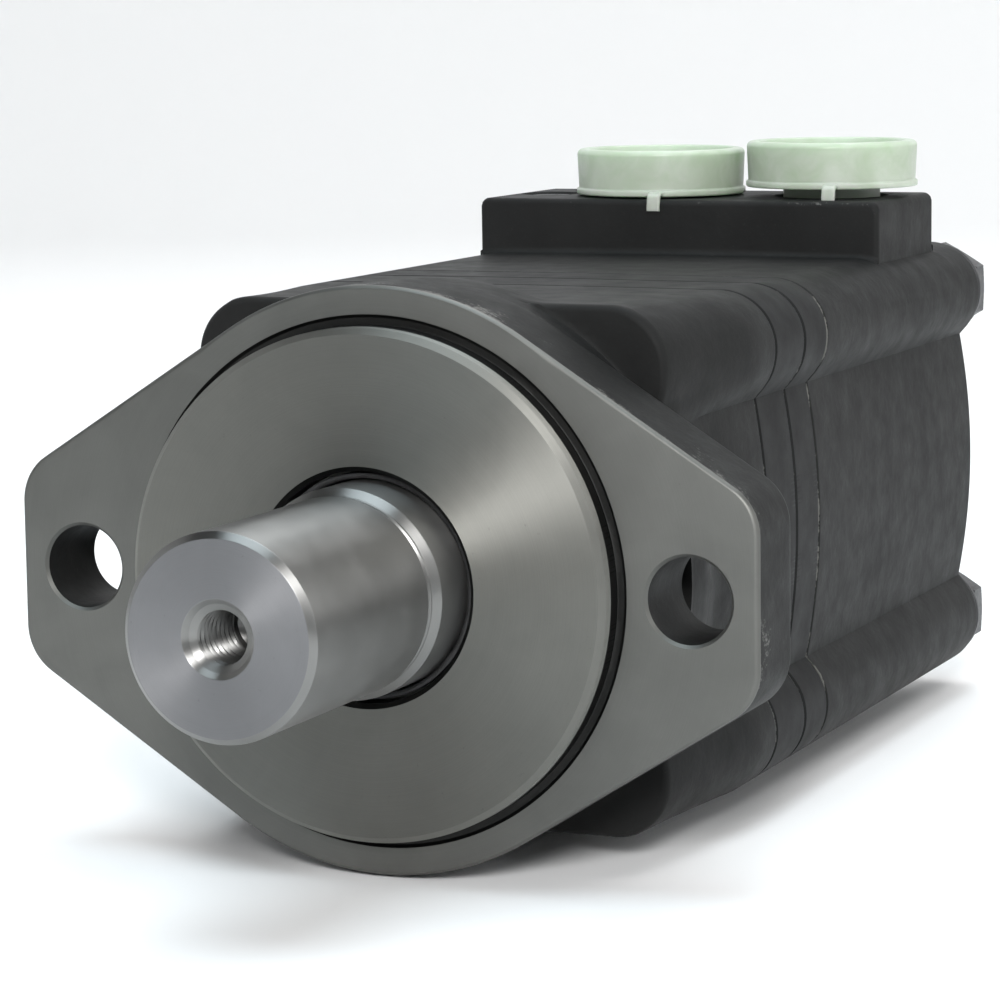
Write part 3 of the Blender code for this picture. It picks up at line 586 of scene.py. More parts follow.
def turned_metal(name, base, roughness, anisotropy, contrast=0.12):
    """Lathe-faced metal: concentric grooves about the shaft axis, smudges and fine pits."""
    tree = Tree(name, base, roughness, 1.0)
    tree.set("Anisotropic", anisotropy)
    tree.set("Anisotropic Rotation", 0.25)
    tree.drive("Tangent", tree.node("ShaderNodeTangent", direction_type="RADIAL", axis="Y").outputs[0])
    r = tree.radius()
    fine = tree.lines(r, 5200.0)
    broad = tree.lines(r, 620.0, 3.0)
    smudge = tree.noise(70.0, 6.0, distortion=0.6)
    pits = tree.noise(900.0, 5.0, rough=0.7)
    dark = tuple(c * (1 - contrast) for c in base)
    light = tuple(min(c * (1 + contrast * 0.7), 1.0) for c in base)
    tone = tree.mix(tree.ramp(smudge, 0.3, 0.7), dark, light)
    tone = tree.mix(tree.ramp(broad, 0.35, 0.75, 0.0, 0.18), tone, light)
    tone = tree.mix(tree.ramp(pits, 0.66, 0.8, 0.0, 0.5), tone, tuple(c * 0.4 for c in base))
    tree.drive("Base Color", tone)
    rough = tree.ramp(smudge, 0.3, 0.75, roughness - 0.03, roughness + 0.05)
    tree.drive("Roughness", tree.math("ADD", rough, tree.ramp(fine, 0.3, 0.7, -0.03, 0.03)))
    tree.bump((broad, 0.12, 0.05), (fine, 0.22, 0.02), (pits, 0.08, 0.05))
    return tree.material


def ground_metal(name, base, roughness, anisotropy=0.45):
    """Ground steel: fine lines round the axis, light scratches and a trace of oil film."""
    tree = Tree(name, base, roughness, 1.0)
    tree.set("Anisotropic", anisotropy)
    tree.set("Anisotropic Rotation", 0.25)
    tree.drive("Tangent", tree.node("ShaderNodeTangent", direction_type="RADIAL", axis="Y").outputs[0])
    fine = tree.lines(tree.axis("Y"), 4200.0, 3.0)
    film = tree.noise(110.0, 5.0, distortion=0.4)
    specks = tree.noise(1500.0, 4.0, rough=0.7)
    tone = tree.mix(tree.ramp(film, 0.3, 0.7), tuple(c * 0.93 for c in base), tuple(c * 1.04 for c in base))
    tone = tree.mix(tree.ramp(specks, 0.68, 0.82, 0.0, 0.4), tone, tuple(c * 0.5 for c in base))
    tree.drive("Base Color", tone)
    tree.drive("Roughness", tree.ramp(film, 0.25, 0.75, roughness - 0.03, roughness + 0.04))
    tree.bump((fine, 0.16, 0.02), (specks, 0.06, 0.04))
    return tree.material


def coated_metal(name, base, roughness, metallic):
    """Forged, oxide-coated or cast bearing metal: mottled colour and a soft uneven surface."""
    tree = Tree(name, base, roughness, metallic)
    mottle = tree.noise(260.0, 6.0)
    specks = tree.noise(1700.0, 4.0, rough=0.7)
    tone = tree.mix(tree.ramp(mottle, 0.3, 0.7), tuple(c * 0.7 for c in base), tuple(c * 1.3 for c in base))
    worn = tree.wear()
    tree.drive("Base Color", tree.mix(worn, tone, tuple(min(c * 2.4 + 0.05, 0.6) for c in base)))
    tree.drive("Roughness", tree.ramp(specks, 0.3, 0.7, roughness - 0.06, roughness + 0.08))
    tree.bump((mottle, 0.2, 0.08), (specks, 0.15, 0.03))
    return tree.material


def rubber():
    """Black nitrile rubber with a faint bloom."""
    tree = Tree("seal_rubber", (0.012, 0.012, 0.012), 0.6, 0.0)
    bloom = tree.noise(300.0, 5.0)
    tree.drive("Base Color", tree.mix(tree.ramp(bloom, 0.4, 0.8), (0.01, 0.01, 0.01), (0.03, 0.03, 0.032)))
    tree.drive("Roughness", tree.ramp(bloom, 0.3, 0.7, 0.5, 0.7))
    tree.bump((tree.noise(2500.0, 3.0), 0.2, 0.03))
    return tree.material


def cap_plastic():
    """Soft translucent polyethylene with flow marks and scuffs."""
    tree = Tree("cap_plastic", (0.36, 0.42, 0.32), 0.4, 0.0)
    tree.set("Subsurface Weight", 0.55)
    tree.set("Subsurface Radius", (0.004, 0.006, 0.004))
    tree.set("Subsurface Scale", 1.0)
    tree.set("Specular IOR Level", 0.45)
    flow = tree.noise(140.0, 4.0, distortion=1.2)
    scuffs = tree.noise(1100.0, 5.0, rough=0.7)
    tone = tree.mix(tree.ramp(flow, 0.3, 0.7), (0.34, 0.4, 0.3), (0.42, 0.46, 0.39))
    tone = tree.mix(tree.ramp(scuffs, 0.68, 0.82, 0.0, 0.4), tone, (0.25, 0.28, 0.19))
    tree.drive("Base Color", tone)
    tree.drive("Roughness", tree.ramp(scuffs, 0.3, 0.7, 0.3, 0.46))
    tree.bump((flow, 0.12, 0.2), (scuffs, 0.08, 0.04))
    return tree.material


PAINT_TONE = (0.0145, 0.0146, 0.0143)
MATERIALS = {
    "painted_casting": painted_metal("painted_casting", PAINT_TONE, 0.34),
    "painted_steel": painted_metal("painted_steel", (0.0122, 0.0123, 0.0124), 0.12),
    "machined_face": turned_metal("machined_face", (0.225, 0.224, 0.207), 0.58, 0.9),
    "flange_face": turned_metal("flange_face", (0.138, 0.138, 0.13), 0.5, 0.3),
    # Near-black turned metal that is painted shade: it stands in for the shadow on the pilot's side wall,
    # in the undercut and in the mouth of the shaft's recess
    "recess_painted_shade": turned_metal("recess_painted_shade", (0.03, 0.03, 0.029), 0.45, 0.3),
    "shaft_face": turned_metal("shaft_face", (0.2, 0.2, 0.206), 0.45, 0.7, 0.08),
    "shaft_steel": ground_metal("shaft_steel", (0.22, 0.219, 0.213), 0.37, 0.85),
    "ground_steel": ground_metal("ground_steel", (0.5, 0.5, 0.49), 0.22),
    "forged_steel": coated_metal("forged_steel", (0.16, 0.155, 0.15), 0.45, 1.0),
    "bronze": coated_metal("bronze", (0.45, 0.3, 0.14), 0.35, 1.0),
    "seal_rubber": rubber(),
    "bolt_steel": coated_metal("bolt_steel", (0.05, 0.05, 0.052), 0.4, 0.6),
    "cap_plastic": cap_plastic(),
}

# ---------------------------------------------------------------- pieces


def add_wear(obj, spots):
    """Paint the wear attribute: spots(points in mm) gives 0 to 1 for each."""
    mesh = obj.data
    points = np.zeros(len(mesh.vertices) * 3, np.float32)
    mesh.vertices.foreach_get("co", points)
    values = spots(points.reshape(-1, 3) / MM)
    attribute = mesh.attributes.get("wear") or mesh.attributes.new("wear", "FLOAT", "POINT")
    attribute.data.foreach_set("value", np.clip(values, 0.0, 1.0).astype(np.float32))


def set_materials(obj, names, rule=None):
    """Give obj its materials; rule(centres in mm, normals) picks one for each face."""
    mesh = obj.data
    mesh.materials.clear()
    for name in names:
        mesh.materials.append(MATERIALS[name])
    index = np.zeros(len(mesh.polygons), np.int32)
    if rule is not None:
        centres = np.zeros(len(mesh.polygons) * 3, np.float32)
        normals = np.zeros(len(mesh.polygons) * 3, np.float32)
        mesh.polygons.foreach_get("center", centres)
        mesh.polygons.foreach_get("normal", normals)
        index[:] = rule(centres.reshape(-1, 3) / MM, normals.reshape(-1, 3))
    mesh.polygons.foreach_set("material_index", index)


def place(obj, body, slot, *nodes):
    """Shade a finished piece, tie it to its CAD body and hide its CAD nodes; the finish it is handed (slot)
    is not used.
    """
    shade(obj)
    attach(obj, body)
    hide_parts(*nodes)
    return obj


def near(values, target, width):
    """One at the target, falling to zero at width away."""
    return np.clip(1 - np.abs(values - target) / width, 0.0, 1.0)


def through_bolt_centres():
    """Axes of the four through bolts as (x, z), in the order of their nodes."""
    x, z = BOLT_C
    return [(x, z), (-x, z), (-x, -z), (x, -z)]


def front_rings():
    """Rings of the front casting, from the shaft recess out over the flange and back through the bore."""
    flange = flange_outline()
    front_body = body_outline(FRONT_LOBE_C, FRONT_CORE, FRONT_CORE, 0.6)
    rear_body = body_outline()
    neck_y, neck_r = zip(*NECK)
    rings = []

    def neck(y):
        """The neck behind the flange, with a cast fillet where the flange stands proud of it."""
        r = np.full(len(PHI), float(np.interp(y, neck_y, neck_r)))
        if FLANGE_T <= y < FLANGE_T + NECK_FILLET:
            rise = NECK_FILLET - math.sqrt(NECK_FILLET**2 - (NECK_FILLET - (y - FLANGE_T)) ** 2)
            r += np.minimum(rise, np.clip(flange - FLANGE_REAR_EDGE - 0.1 - r, 0.0, None))
        return r

    face = [
        (-PILOT_H, MOUTH_R, 0.0),
        (-PILOT_H, PILOT_R - PILOT_CHAMFER, 0.15),
        (PILOT_CHAMFER - PILOT_H, PILOT_R, 0.15),
        (-2.3, PILOT_R, 0.0),
        (UNDERCUT_DEPTH, PILOT_R, 0.2),
        (UNDERCUT_DEPTH, UNDERCUT_R, 0.2),
        (0.0, UNDERCUT_R + UNDERCUT_DEPTH, 0.0),
    ]
    rings += [(y, r) for y, r in rounded(face, 2)]
    rim = [(0.0, 3.0, 0), (0.0, 0.0, FLANGE_FRONT_EDGE)]
    rim += [(FLANGE_T, 0.0, FLANGE_REAR_EDGE), (FLANGE_T, 3.0, 0)]
    rings += [(y, np.maximum(flange - inset, neck(y))) for y, inset in rounded(rim, 4)]
    rings += [(FLANGE_T, np.maximum(neck(FLANGE_T), flange - inset)) for inset in (6.0, 10.0, 14.0, 30.0)]
    rings += [(y, neck(y)) for y in FLANGE_T + np.array([0.15, 0.5, 1.0, 1.7, NECK_FILLET])]
    start = SHELL_FRONT
    rings.append((start - 0.8, neck(start)))
    shell = np.maximum(front_body, neck(start))
    for y, rise in ((start - 0.25, 0.25), (start, 0.9)):
        rings.append((y, np.minimum(neck(start) + rise, shell)))
    for inset in (6.0, 3.4):
        rings.append((start, np.minimum(np.maximum(neck(start) + 0.9, front_body - inset), shell)))
    turn = rounded([(start, 3.0, 0), (start, 0.0, 2.2), (start + 8.0, 0.0, 0)], 5)[1:-1]
    rings += [(y, smooth_max(front_body - inset, neck(y), 1.6)) for y, inset in turn]
    full = FLANGE_T + 36.0
    for y in (24.0, 26.0, 28.5, 31.0, 34.0, 37.0, 40.0, 44.0, 48.0, full, 56.0):
        share = min((y - start) / (full - start), 1.0)
        outline = front_body + (rear_body - front_body) * share
        rings.append((y, smooth_max(outline, neck(y), 1.6)))
    end = FRONT_HIGH.y
    tail = rounded([(58.0, 0.0, 0), (end, 0.0, 0.5), (end, 2.0, 0)], 3)
    rings += [(y, rear_body - inset) for y, inset in tail]
    inner, outer, depth = O_RING_GROOVE
    rings += [(end, outer), (end - depth, outer), (end - depth, inner), (end, inner)]
    rings += [(end, FRONT_BORE[0][1]), *FRONT_BORE]
    return rings


def front_casting():
    """Flange, pilot, neck and bearing housing."""
    mesh = mesh_through("front_casting", [ring_at(y, r) for y, r in front_rings()], closed=True)
    obj = make_object("front_casting", mesh)
    cutters = [hole_cutter(0.0, FLANGE_T, BOLT_HOLE_R, (s * BOLT_X, 0.0), 0.5, 72) for s in (-1, 1)]
    for centre in through_bolt_centres():
        steps = [(37.0, BODY_HOLE_R), (FRONT_HIGH.y + 3.0, BODY_HOLE_R)]
        cutters.append(mesh_through("hole", [round_ring(y, r, 32, centre) for y, r in steps]))
    boolean(obj, join_meshes("holes", cutters))

    def rule(centres, normals):
        radius = np.hypot(centres[:, 0], centres[:, 2])
        front = (centres[:, 1] < 0.75) & (radius > 18.0)
        bore = (radius < 42.0) & (centres[:, 1] > -0.6) & (centres[:, 1] < FRONT_HIGH.y + 1)
        rear = normals[:, 1] > 0.99
        # Painted shade: the pilot's side wall and the undercut at its foot take the near-black finish, for
        # the shadow there
        recess = (radius > PILOT_R - 0.2) & (radius < 42.9) & (centres[:, 1] < 0.6)
        recess &= (centres[:, 1] > -2.2) & ((centres[:, 1] > 0.05) | (radius < 42.0))
        index = (front | bore | (rear & (centres[:, 1] > 50.0))).astype(np.int32)
        # Painted shade: the wall of the shaft's recess behind the pilot face takes the near-black finish
        # too
        mouth = (radius < MOUTH_R - 0.1) & (centres[:, 1] < -0.6) & (centres[:, 1] > 0.05 - PILOT_H)
        index[front & (radius > UNDERCUT_R - 0.1)] = 2
        index[recess | mouth] = 3
        return index

    finishes = ["painted_casting", "machined_face", "flange_face", "recess_painted_shade"]
    set_materials(obj, finishes, rule)
    flange = flange_outline()
    order = np.argsort(PHI)

    def spots(points):
        angle = np.arctan2(points[:, 2], points[:, 0]) % (2 * math.pi)
        limit = np.interp(angle, PHI[order], flange[order], period=2 * math.pi)
        radius = np.hypot(points[:, 0], points[:, 2])
        rim = near(limit - radius, 0.0, 1.4)
        return rim * (near(points[:, 1], 0.4, 2.0) + 0.8 * near(points[:, 1], FLANGE_T, 1.8))

    add_wear(obj, spots)
    return place(obj, "housing", "painted_casting", "front_housing")


def slab_rings(y0, y1, chamfer, inner):
    """Rings of a plate with the body's outline outside and inner as its bore."""
    outer = body_outline()
    line = rounded([(y0, 3.0, 0), (y0, chamfer, 0.2), (y0 + chamfer, 0.0, 0.2), (y0 + 3.0, 0.0, 0)], 2)
    rings = [(y, outer - inset) for y, inset in line]
    rings += [(y1 + y0 - y, r) for y, r in rings[::-1]]
    return rings + [(y1, inner), (y0, inner)]


def slab_piece(name, low, high, slot, inner, windows=()):
    """One plate of the stack, with its bolt holes and any windows cut through."""
    rings = [ring_at(y, r) for y, r in slab_rings(low.y, high.y, 0.5, inner)]
    obj = make_object(name, mesh_through(name, rings, closed=True))
    holes = [(centre, BODY_HOLE_R) for centre in through_bolt_centres()] + list(windows)
    boolean(obj, join_meshes("holes", [hole_cutter(low.y, high.y, r, c, 0.0, 32) for c, r in holes]))

    def rule(centres, normals):
        inside = np.hypot(centres[:, 0], centres[:, 2]) < STACK_INSIDE_R
        return (inside | (np.abs(normals[:, 1]) > 0.99)).astype(np.int32)

    set_materials(obj, [slot, "ground_steel"], rule)
    add_wear(obj, lambda p: near(p[:, 1], low.y, 0.8) + near(p[:, 1], high.y, 0.8))
    return obj


def gerotor_ring():
    """Ring that holds the seven rollers in its pockets."""
    obj = slab_piece("gerotor_ring", RING_LOW, RING_HIGH, "painted_steel", pocket_outline())
    return place(obj, "housing", "painted_steel", "geroler_ring")


def timing_plate():
    """Valve plate with one window for each chamber."""
    windows = []
    for k in range(ROLLERS):
        t = (k + 0.5) * 2 * math.pi / ROLLERS
        windows.append(((WINDOW_CIRCLE_R * math.sin(t), WINDOW_CIRCLE_R * math.cos(t)), WINDOW_R))
    bore = np.full(len(PHI), PLATE_BORE_R)
    obj = slab_piece("timing_plate", PLATE_LOW, PLATE_HIGH, "painted_steel", bore, windows)
    return place(obj, "housing", "painted_steel", "valve_plate")


def rear_rings():
    """Rings of the rear casting from the valve cavity's nose out over the port block to the rear face."""
    body = body_outline()
    block = block_outline()
    y0, y1 = REAR_LOW.y, REAR_HIGH.y
    nose = [(127.6, 6.0), (123.6, 13.0), (CAVITY_END, 13.0)]
    rings = nose + [(CAVITY_END, CAVITY_R), (y0, CAVITY_R)]
    line = rounded([(y0, 3.0, 0), (y0, 0.0, 0.5), (y0 + 6.0, 0.0, 0)], 3)
    rings += [(y, body - inset) for y, inset in line]
    rings += [(y, body) for y in (100.0, 112.0, 124.0, 131.0)]
    tall = np.maximum(body, block)
    rise = []
    for t in np.linspace(0.0, math.pi / 2, 6):
        foot = np.minimum(body + BLOCK_FILLET * (1 - math.cos(t)), tall)
        rise.append((-BLOCK_FILLET * (1 - math.sin(t)), foot))
    for up in (5.0, 8.0, 11.0):
        rise.append((0.0, np.minimum(body + up, np.maximum(body, block - BLOCK_EDGE))))
    for t in np.linspace(0.0, math.pi / 2, 5):
        drop = BLOCK_EDGE * (1 - math.sin(t))
        rise.append((BLOCK_EDGE * (1 - math.cos(t)), np.maximum(body, block - drop)))
    rings += [(BLOCK_Y[0] + dy, r) for dy, r in rise]
    rings += [(y, tall) for y in np.linspace(*BLOCK_Y, 6)[1:-1]]
    rings += [(BLOCK_Y[1] - dy, r) for dy, r in rise[::-1]]
    rings += [(178.0, body)]
    tail = rounded([(180.0, 0.0, 0), (y1, 0.0, REAR_EDGE), (y1, 6.0, 0)], 6)[1:-1]
    rings += [(y, body - inset) for y, inset in tail]
    return rings + [(y1, 24.0), (y1, 4.0)]


def ports():
    """Centre (x, y) of the left and the right port, read from their caps."""
    found = []
    for side in ("left", "right"):
        low, high = node_box(f"port_cap_{side}")
        found.append(((low.x + high.x) / 2, high.y - (high.x - low.x) / 2))
    return found


def rear_casting():
    """Valve housing with its port block, threaded ports, drain and passages."""
    mesh = mesh_through("rear_casting", [ring_at(y, r) for y, r in rear_rings()])
    obj = make_object("rear_casting", mesh)
    y0, y1 = REAR_LOW.y, REAR_HIGH.y
    cutters = [hole_cutter(y0, y1, BODY_HOLE_R, c, 0.0, 32) for c in through_bolt_centres()]
    rods = [((x, 0.0), SPRING_POCKET_R, 110.0, 121.6) for x in (-SPRING_X, SPRING_X)]
    for (_, y), foot_x in zip(ports(), PORT_FEET):
        rods.append(((foot_x, PASSAGE_Z), PASSAGE_R, 109.0, y))
    for centre, radius, *ends in rods:
        cutters.append(mesh_through("rod", [round_ring(y, radius, 24, centre) for y in ends]))
    boolean(obj, join_meshes("holes", cutters))
    seg = 72
    cutters = []
    for x, y in ports():
        foot = [(PORT_FLOOR, 4.0), (PORT_FLOOR, 9.0)]
        ends = (PORT_FLOOR + 0.6, BLOCK_TOP - 1.4)
        wall = thread_rings(*ends, PORT_THREAD_R, PORT_THREAD_DEPTH, PORT_PITCH, seg)
        mouth = [(BLOCK_TOP - 0.9, 10.3), (BLOCK_TOP + 2.0, 13.2)]
        rings = [round_ring(h, r, seg) for h, r in foot + wall + mouth]
        cutters.append(along_z(mesh_through("port", rings), (x, y, 0.0)))
    x, y = (PLUG_LOW.x + PLUG_HIGH.x) / 2, (PLUG_LOW.y + PLUG_HIGH.y) / 2
    steps = [(DRAIN_FLOOR, DRAIN_R), (BLOCK_TOP - 0.8, DRAIN_R), (BLOCK_TOP + 1.0, DRAIN_R + 1.8)]
    cutters.append(along_z(mesh_through("drain", [round_ring(h, r, 48) for h, r in steps]), (x, y, 0.0)))
    boolean(obj, join_meshes("ports", cutters))
    cutters = []
    for (_, y), foot_x in zip(ports(), PORT_FEET):
        drop = [round_ring(h, DROP_R, 24) for h in (PASSAGE_Z - 2.0, PORT_FLOOR + 2.0)]
        cutters.append(along_z(mesh_through("drop", drop), (foot_x, y, 0.0)))
    boolean(obj, join_meshes("drops", cutters))

    def rule(centres, normals):
        radius = np.hypot(centres[:, 0], centres[:, 2])
        cavity = (centres[:, 1] < 128.0) & (radius < CAVITY_R + 0.3)
        front = (normals[:, 1] < -0.99) & (centres[:, 1] < y0 + 1)
        return (cavity | front).astype(np.int32)

    set_materials(obj, ["painted_casting", "machined_face"], rule)

    def spots(points):
        across = np.maximum(near(np.abs(points[:, 0]), BLOCK_X, 1.6), near(points[:, 1], BLOCK_Y[0], 1.5))
        across = np.maximum(across, near(points[:, 1], BLOCK_Y[1], 1.5))
        top = near(points[:, 2], BLOCK_TOP, 1.8) * across
        return top + near(points[:, 1], y0, 0.8) + 0.7 * near(points[:, 1], y1 - 0.8, 1.2)

    add_wear(obj, spots)
    return place(obj, "housing", "painted_casting", "valve_housing")


def hex_radius(flat, seg):
    """Polar radii of a hexagon."""
    t = np.arange(seg) * 2 * math.pi / seg
    return flat / np.cos((t + math.pi / 6) % (math.pi / 3) - math.pi / 6)


def through_bolts():
    """Four hexagon bolts with round washer faces and chamfered, slightly dished heads."""
    seg = 96
    seat = REAR_HIGH.y + 0.35
    top = BOLT_HIGH.y
    hexagon = hex_radius(HEX_FLAT, seg)
    for k, centre in enumerate(through_bolt_centres(), 1):
        rings = [(BOLT_LOW.y, SHANK_R - 0.8), (BOLT_LOW.y + 0.8, SHANK_R), (seat - 0.5, SHANK_R)]
        washer = [(seat, 5.2, 0), (seat, WASHER_R, 0.25), (seat + 1.2, WASHER_R, 0.5), (seat + 2.4, 8.0, 0)]
        rings += rounded(washer, 3)[:-1]
        rings += [(seat + 2.3, np.minimum(hexagon + 0.5, 8.4)), (seat + 2.8, hexagon)]
        for share in np.linspace(0.0, 1.0, 7):
            limit = HEX_FLAT / math.cos(math.pi / 6) - share * 1.75
            rings.append((top - 1.0 + share, np.minimum(hexagon, limit)))
        rings += [(top, 5.0), (top - 0.35, 4.4)]
        mesh = mesh_through(f"flange_bolt_{k}", [round_ring(y, r, seg, centre) for y, r in rings])
        obj = make_object(f"flange_bolt_{k}", mesh)
        set_materials(obj, ["bolt_steel"])
        add_wear(obj, lambda p: 0.9 * near(p[:, 1], top, 1.3) + 0.5 * near(p[:, 1], seat + 1.4, 0.9))
        place(obj, "housing", "bolt_steel", f"through_bolt_{k}")


def spline_radius(minor, major, teeth, seg):
    """Polar radii of a splined socket with flat-topped spaces."""
    t = (np.arange(seg) / seg * teeth + 0.5) % 1.0 - 0.5
    share = np.clip((0.32 - np.abs(t)) / 0.07, 0.0, 1.0)
    return minor + (major - minor) * share


def output_shaft():
    """Straight shaft: threaded centre hole, retaining groove, seal collar, bearing seats and socket."""
    seg = 180
    tip, tail = SHAFT_LOW.y, SHAFT_HIGH.y
    hole = [(-37.8, 0.4), (-39.6, 4.0), (-40.4, THREAD_R)]
    hole += thread_rings(-40.6, tip + 1.6, THREAD_R, THREAD_DEPTH, THREAD_PITCH, seg)
    mouth = [(tip + 1.3, 4.5, 0), (tip + 0.9, 5.2, 0.3), (tip, 6.0, 0.2), (tip, SHAFT_R - 1.0, 0)]
    hole += rounded(mouth, 2)[1:-1]
    outside = [
        (tip, SHAFT_R - 1.0, 0.2),
        (tip + 1.0, SHAFT_R, 0.25),
        (-14.3, SHAFT_R, 0.15),
        (-14.2, SHAFT_R - GROOVE_DEPTH, 0.1),
        (-13.2, SHAFT_R - GROOVE_DEPTH, 0.1),
        (-13.0, SHAFT_R - 0.2, 0.1),
        (-12.7, SHAFT_R - 0.1, 0.1),
        (-11.5, COLLAR_R, 0.3),
        (7.0, COLLAR_R, 0.1),
        (7.4, FRONT_SEAT_R, 0.1),
        (23.2, FRONT_SEAT_R, 0.2),
        (23.2, SHOULDER_R, 0.4),
        (33.0, SHOULDER_R, 0.4),
        (33.0, REAR_SEAT_R, 0.2),
        (tail - 1.0, REAR_SEAT_R, 0.2),
        (tail, 23.0, 0.2),
        (tail, 14.4, 0),
    ]
    body = rounded([(tip, 9.0, 0), *outside], 3)[1:]
    socket = spline_radius(10.4, 12.2, 10, seg)
    inner = [(tail - 1.5, SOCKET_MOUTH_R), (47.0, SOCKET_MOUTH_R)]
    inner += [(47.0, socket), (26.5, socket), (26.5, 2.0)]
    rings = [round_ring(y, r, seg) for y, r in hole + body + inner]
    obj = make_object("straight_shaft", mesh_through("straight_shaft", rings))

    def rule(centres, normals):
        end = (normals[:, 1] < -0.9) & (centres[:, 1] < tip + 0.1)
        return end.astype(np.int32)

    set_materials(obj, ["shaft_steel", "shaft_face"], rule)
    return place(obj, "shaft", "shaft_steel", "output_shaft")


def dust_lip():
    """Dust lip that closes the gap round the shaft."""
    outer, front, rear = 18.2, DUST_LOW.y, DUST_HIGH.y
    line = [(front, outer - 0.5, 0.2), (front, outer, 0.15), (rear, outer, 0.15), (rear, 17.6, 0.2)]
    line += [(front + 1.0, 17.2, 0.15), (front + 0.2, 17.3, 0.1)]
    wrap = [line[-1], *line, line[0]]
    profile = rounded(wrap, 3)[1:-1]
    mesh = mesh_through("dust_lip", [round_ring(y, r, 144) for y, r in profile], closed=True)
    obj = make_object("dust_lip", mesh)
    set_materials(obj, ["seal_rubber"])
    return place(obj, "housing", "seal_rubber", "dust_seal")


def plug():
    """Socket plug in the case drain."""
    seg = 72
    low, top = PLUG_LOW.z, PLUG_HIGH.z
    socket = hex_radius(SOCKET_FLAT, seg)
    rings = rounded([(low, 3.0, 0), (low, PLUG_R, 0.8), (top, PLUG_R, 0.5), (top, 3.2, 0)], 3)
    rings += [(top - 0.35, socket + 0.05), (top - 0.5, socket)]
    rings += [(top - 4.0, socket), (top - 4.6, 0.5)]
    mesh = mesh_through("drain_socket_plug", [round_ring(h, r, seg) for h, r in rings])
    centre = (PLUG_LOW + PLUG_HIGH) / 2
    obj = make_object("drain_socket_plug", along_z(mesh, (centre.x, centre.y, 0.0)))
    set_materials(obj, ["bolt_steel"])
    add_wear(obj, lambda p: near(p[:, 2], top, 0.7))
    return place(obj, "housing", "bolt_steel", "drain_plug")


def tongue(x, y, z):
    """Pull tab: a thin strip that leaves the cap's rim and bends down over the block's edge."""
    line = rounded([(1.6, 0.0, 0), (-1.3, 0.0, 0.9), (-1.7, -3.2, 0)], 5)
    rings = []
    for i, (u, v) in enumerate(line):
        a = np.array(line[max(i - 1, 0)])
        b = np.array(line[min(i + 1, len(line) - 1)])
        along = (b - a) / np.linalg.norm(b - a)
        out = np.array((-along[1], along[0])) * TAB_THICKNESS / 2
        section = []
        for sx, so in TAB_SECTION:
            section.append((x + sx * TAB_WIDTH / 2, y + u + so * out[0], z + v + so * out[1]))
        rings.append(np.array(section))
    return mesh_through("tongue", rings)


def port_cap(side, body):
    """Push-in cap: crowned head with a rolled rim, a hollow plug below and a pull tab."""
    node = f"port_cap_{side}"
    low, high = node_box(node)
    x, y = (low.x + high.x) / 2, high.y - (high.x - low.x) / 2
    radius = (high.x - low.x) / 2
    top = high.z
    base = top - CAP_HEAD_H
    foot = low.z
    seg = 144
    corners = [
        (foot + 7.0, 1.0, 0),
        (foot + 7.0, CAP_BORE_R, 0.8),
        (foot, 8.0, 0.3),
        (foot, 8.6, 0.3),
        (foot + 1.2, 9.2, 0.4),
        (base, CAP_STEM_R, 0.3),
        (base, radius - 0.1, 0.35),
        (base + 1.1, radius - 0.1, 0.3),
        (base + 1.3, radius - 0.55, 0.25),
        (base + 2.0, radius - 0.5, 0.3),
        (top, radius - 0.2, 1.0),
        (top, radius - 2.6, 0.5),
        (top - 1.6, radius - 3.4, 0.8),
        (top - 1.4, 1.0, 0),
    ]
    rings = [round_ring(h, r, seg) for h, r in rounded(corners, 4)]
    obj = make_object(f"cap_{side}_shell", along_z(mesh_through(f"cap_{side}", rings), (x, y, 0.0)))
    rim = y - math.sqrt(radius**2 - TAB_X**2)
    boolean(obj, tongue(x + TAB_X, rim, base + 0.6), "UNION")
    set_materials(obj, ["cap_plastic"])
    return place(obj, body, "cap_plastic", node)


INNER_FINISH = {
    "front_inner_race": "ground_steel",
    "front_outer_race": "ground_steel",
    "front_rollers": "bronze",
    "rear_inner_race": "ground_steel",
    "rear_outer_race": "ground_steel",
    "rear_rollers": "bronze",
    "shaft_seal": "seal_rubber",
    "o_ring_front": "seal_rubber",
    "o_ring_plate": "seal_rubber",
    "wear_plate": "ground_steel",
    "star": "ground_steel",
    "main_drive": "forged_steel",
    "valve_drive": "forged_steel",
    "drive_spacer": "bronze",
    "disc_valve": "ground_steel",
    "balance_ring": "bronze",
    "balance_spring_1": "shaft_steel",
    "balance_spring_2": "shaft_steel",
}


def inner_parts():
    """Give each internal node that is carried over from the CAD its finish."""
    finishes = dict(INNER_FINISH)
    for k in range(1, ROLLERS + 1):
        finishes[f"geroler_roller_{k}"] = "ground_steel"
    for node, finish in finishes.items():
        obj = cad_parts[node]
        obj.data.materials.clear()
        obj.data.materials.append(MATERIALS[finish])


# ---------------------------------------------------------------- stage, lights and camera


def stage_material(tone):
    """Matt card for the floor."""
    tree = Tree("floor_card", tone, 0.7, 0.0)
    tree.set("Specular IOR Level", 0.2)
    tree.drive("Roughness", tree.ramp(tree.noise(20.0, 3.0), 0.3, 0.7, 0.65, 0.8))
    return tree.material


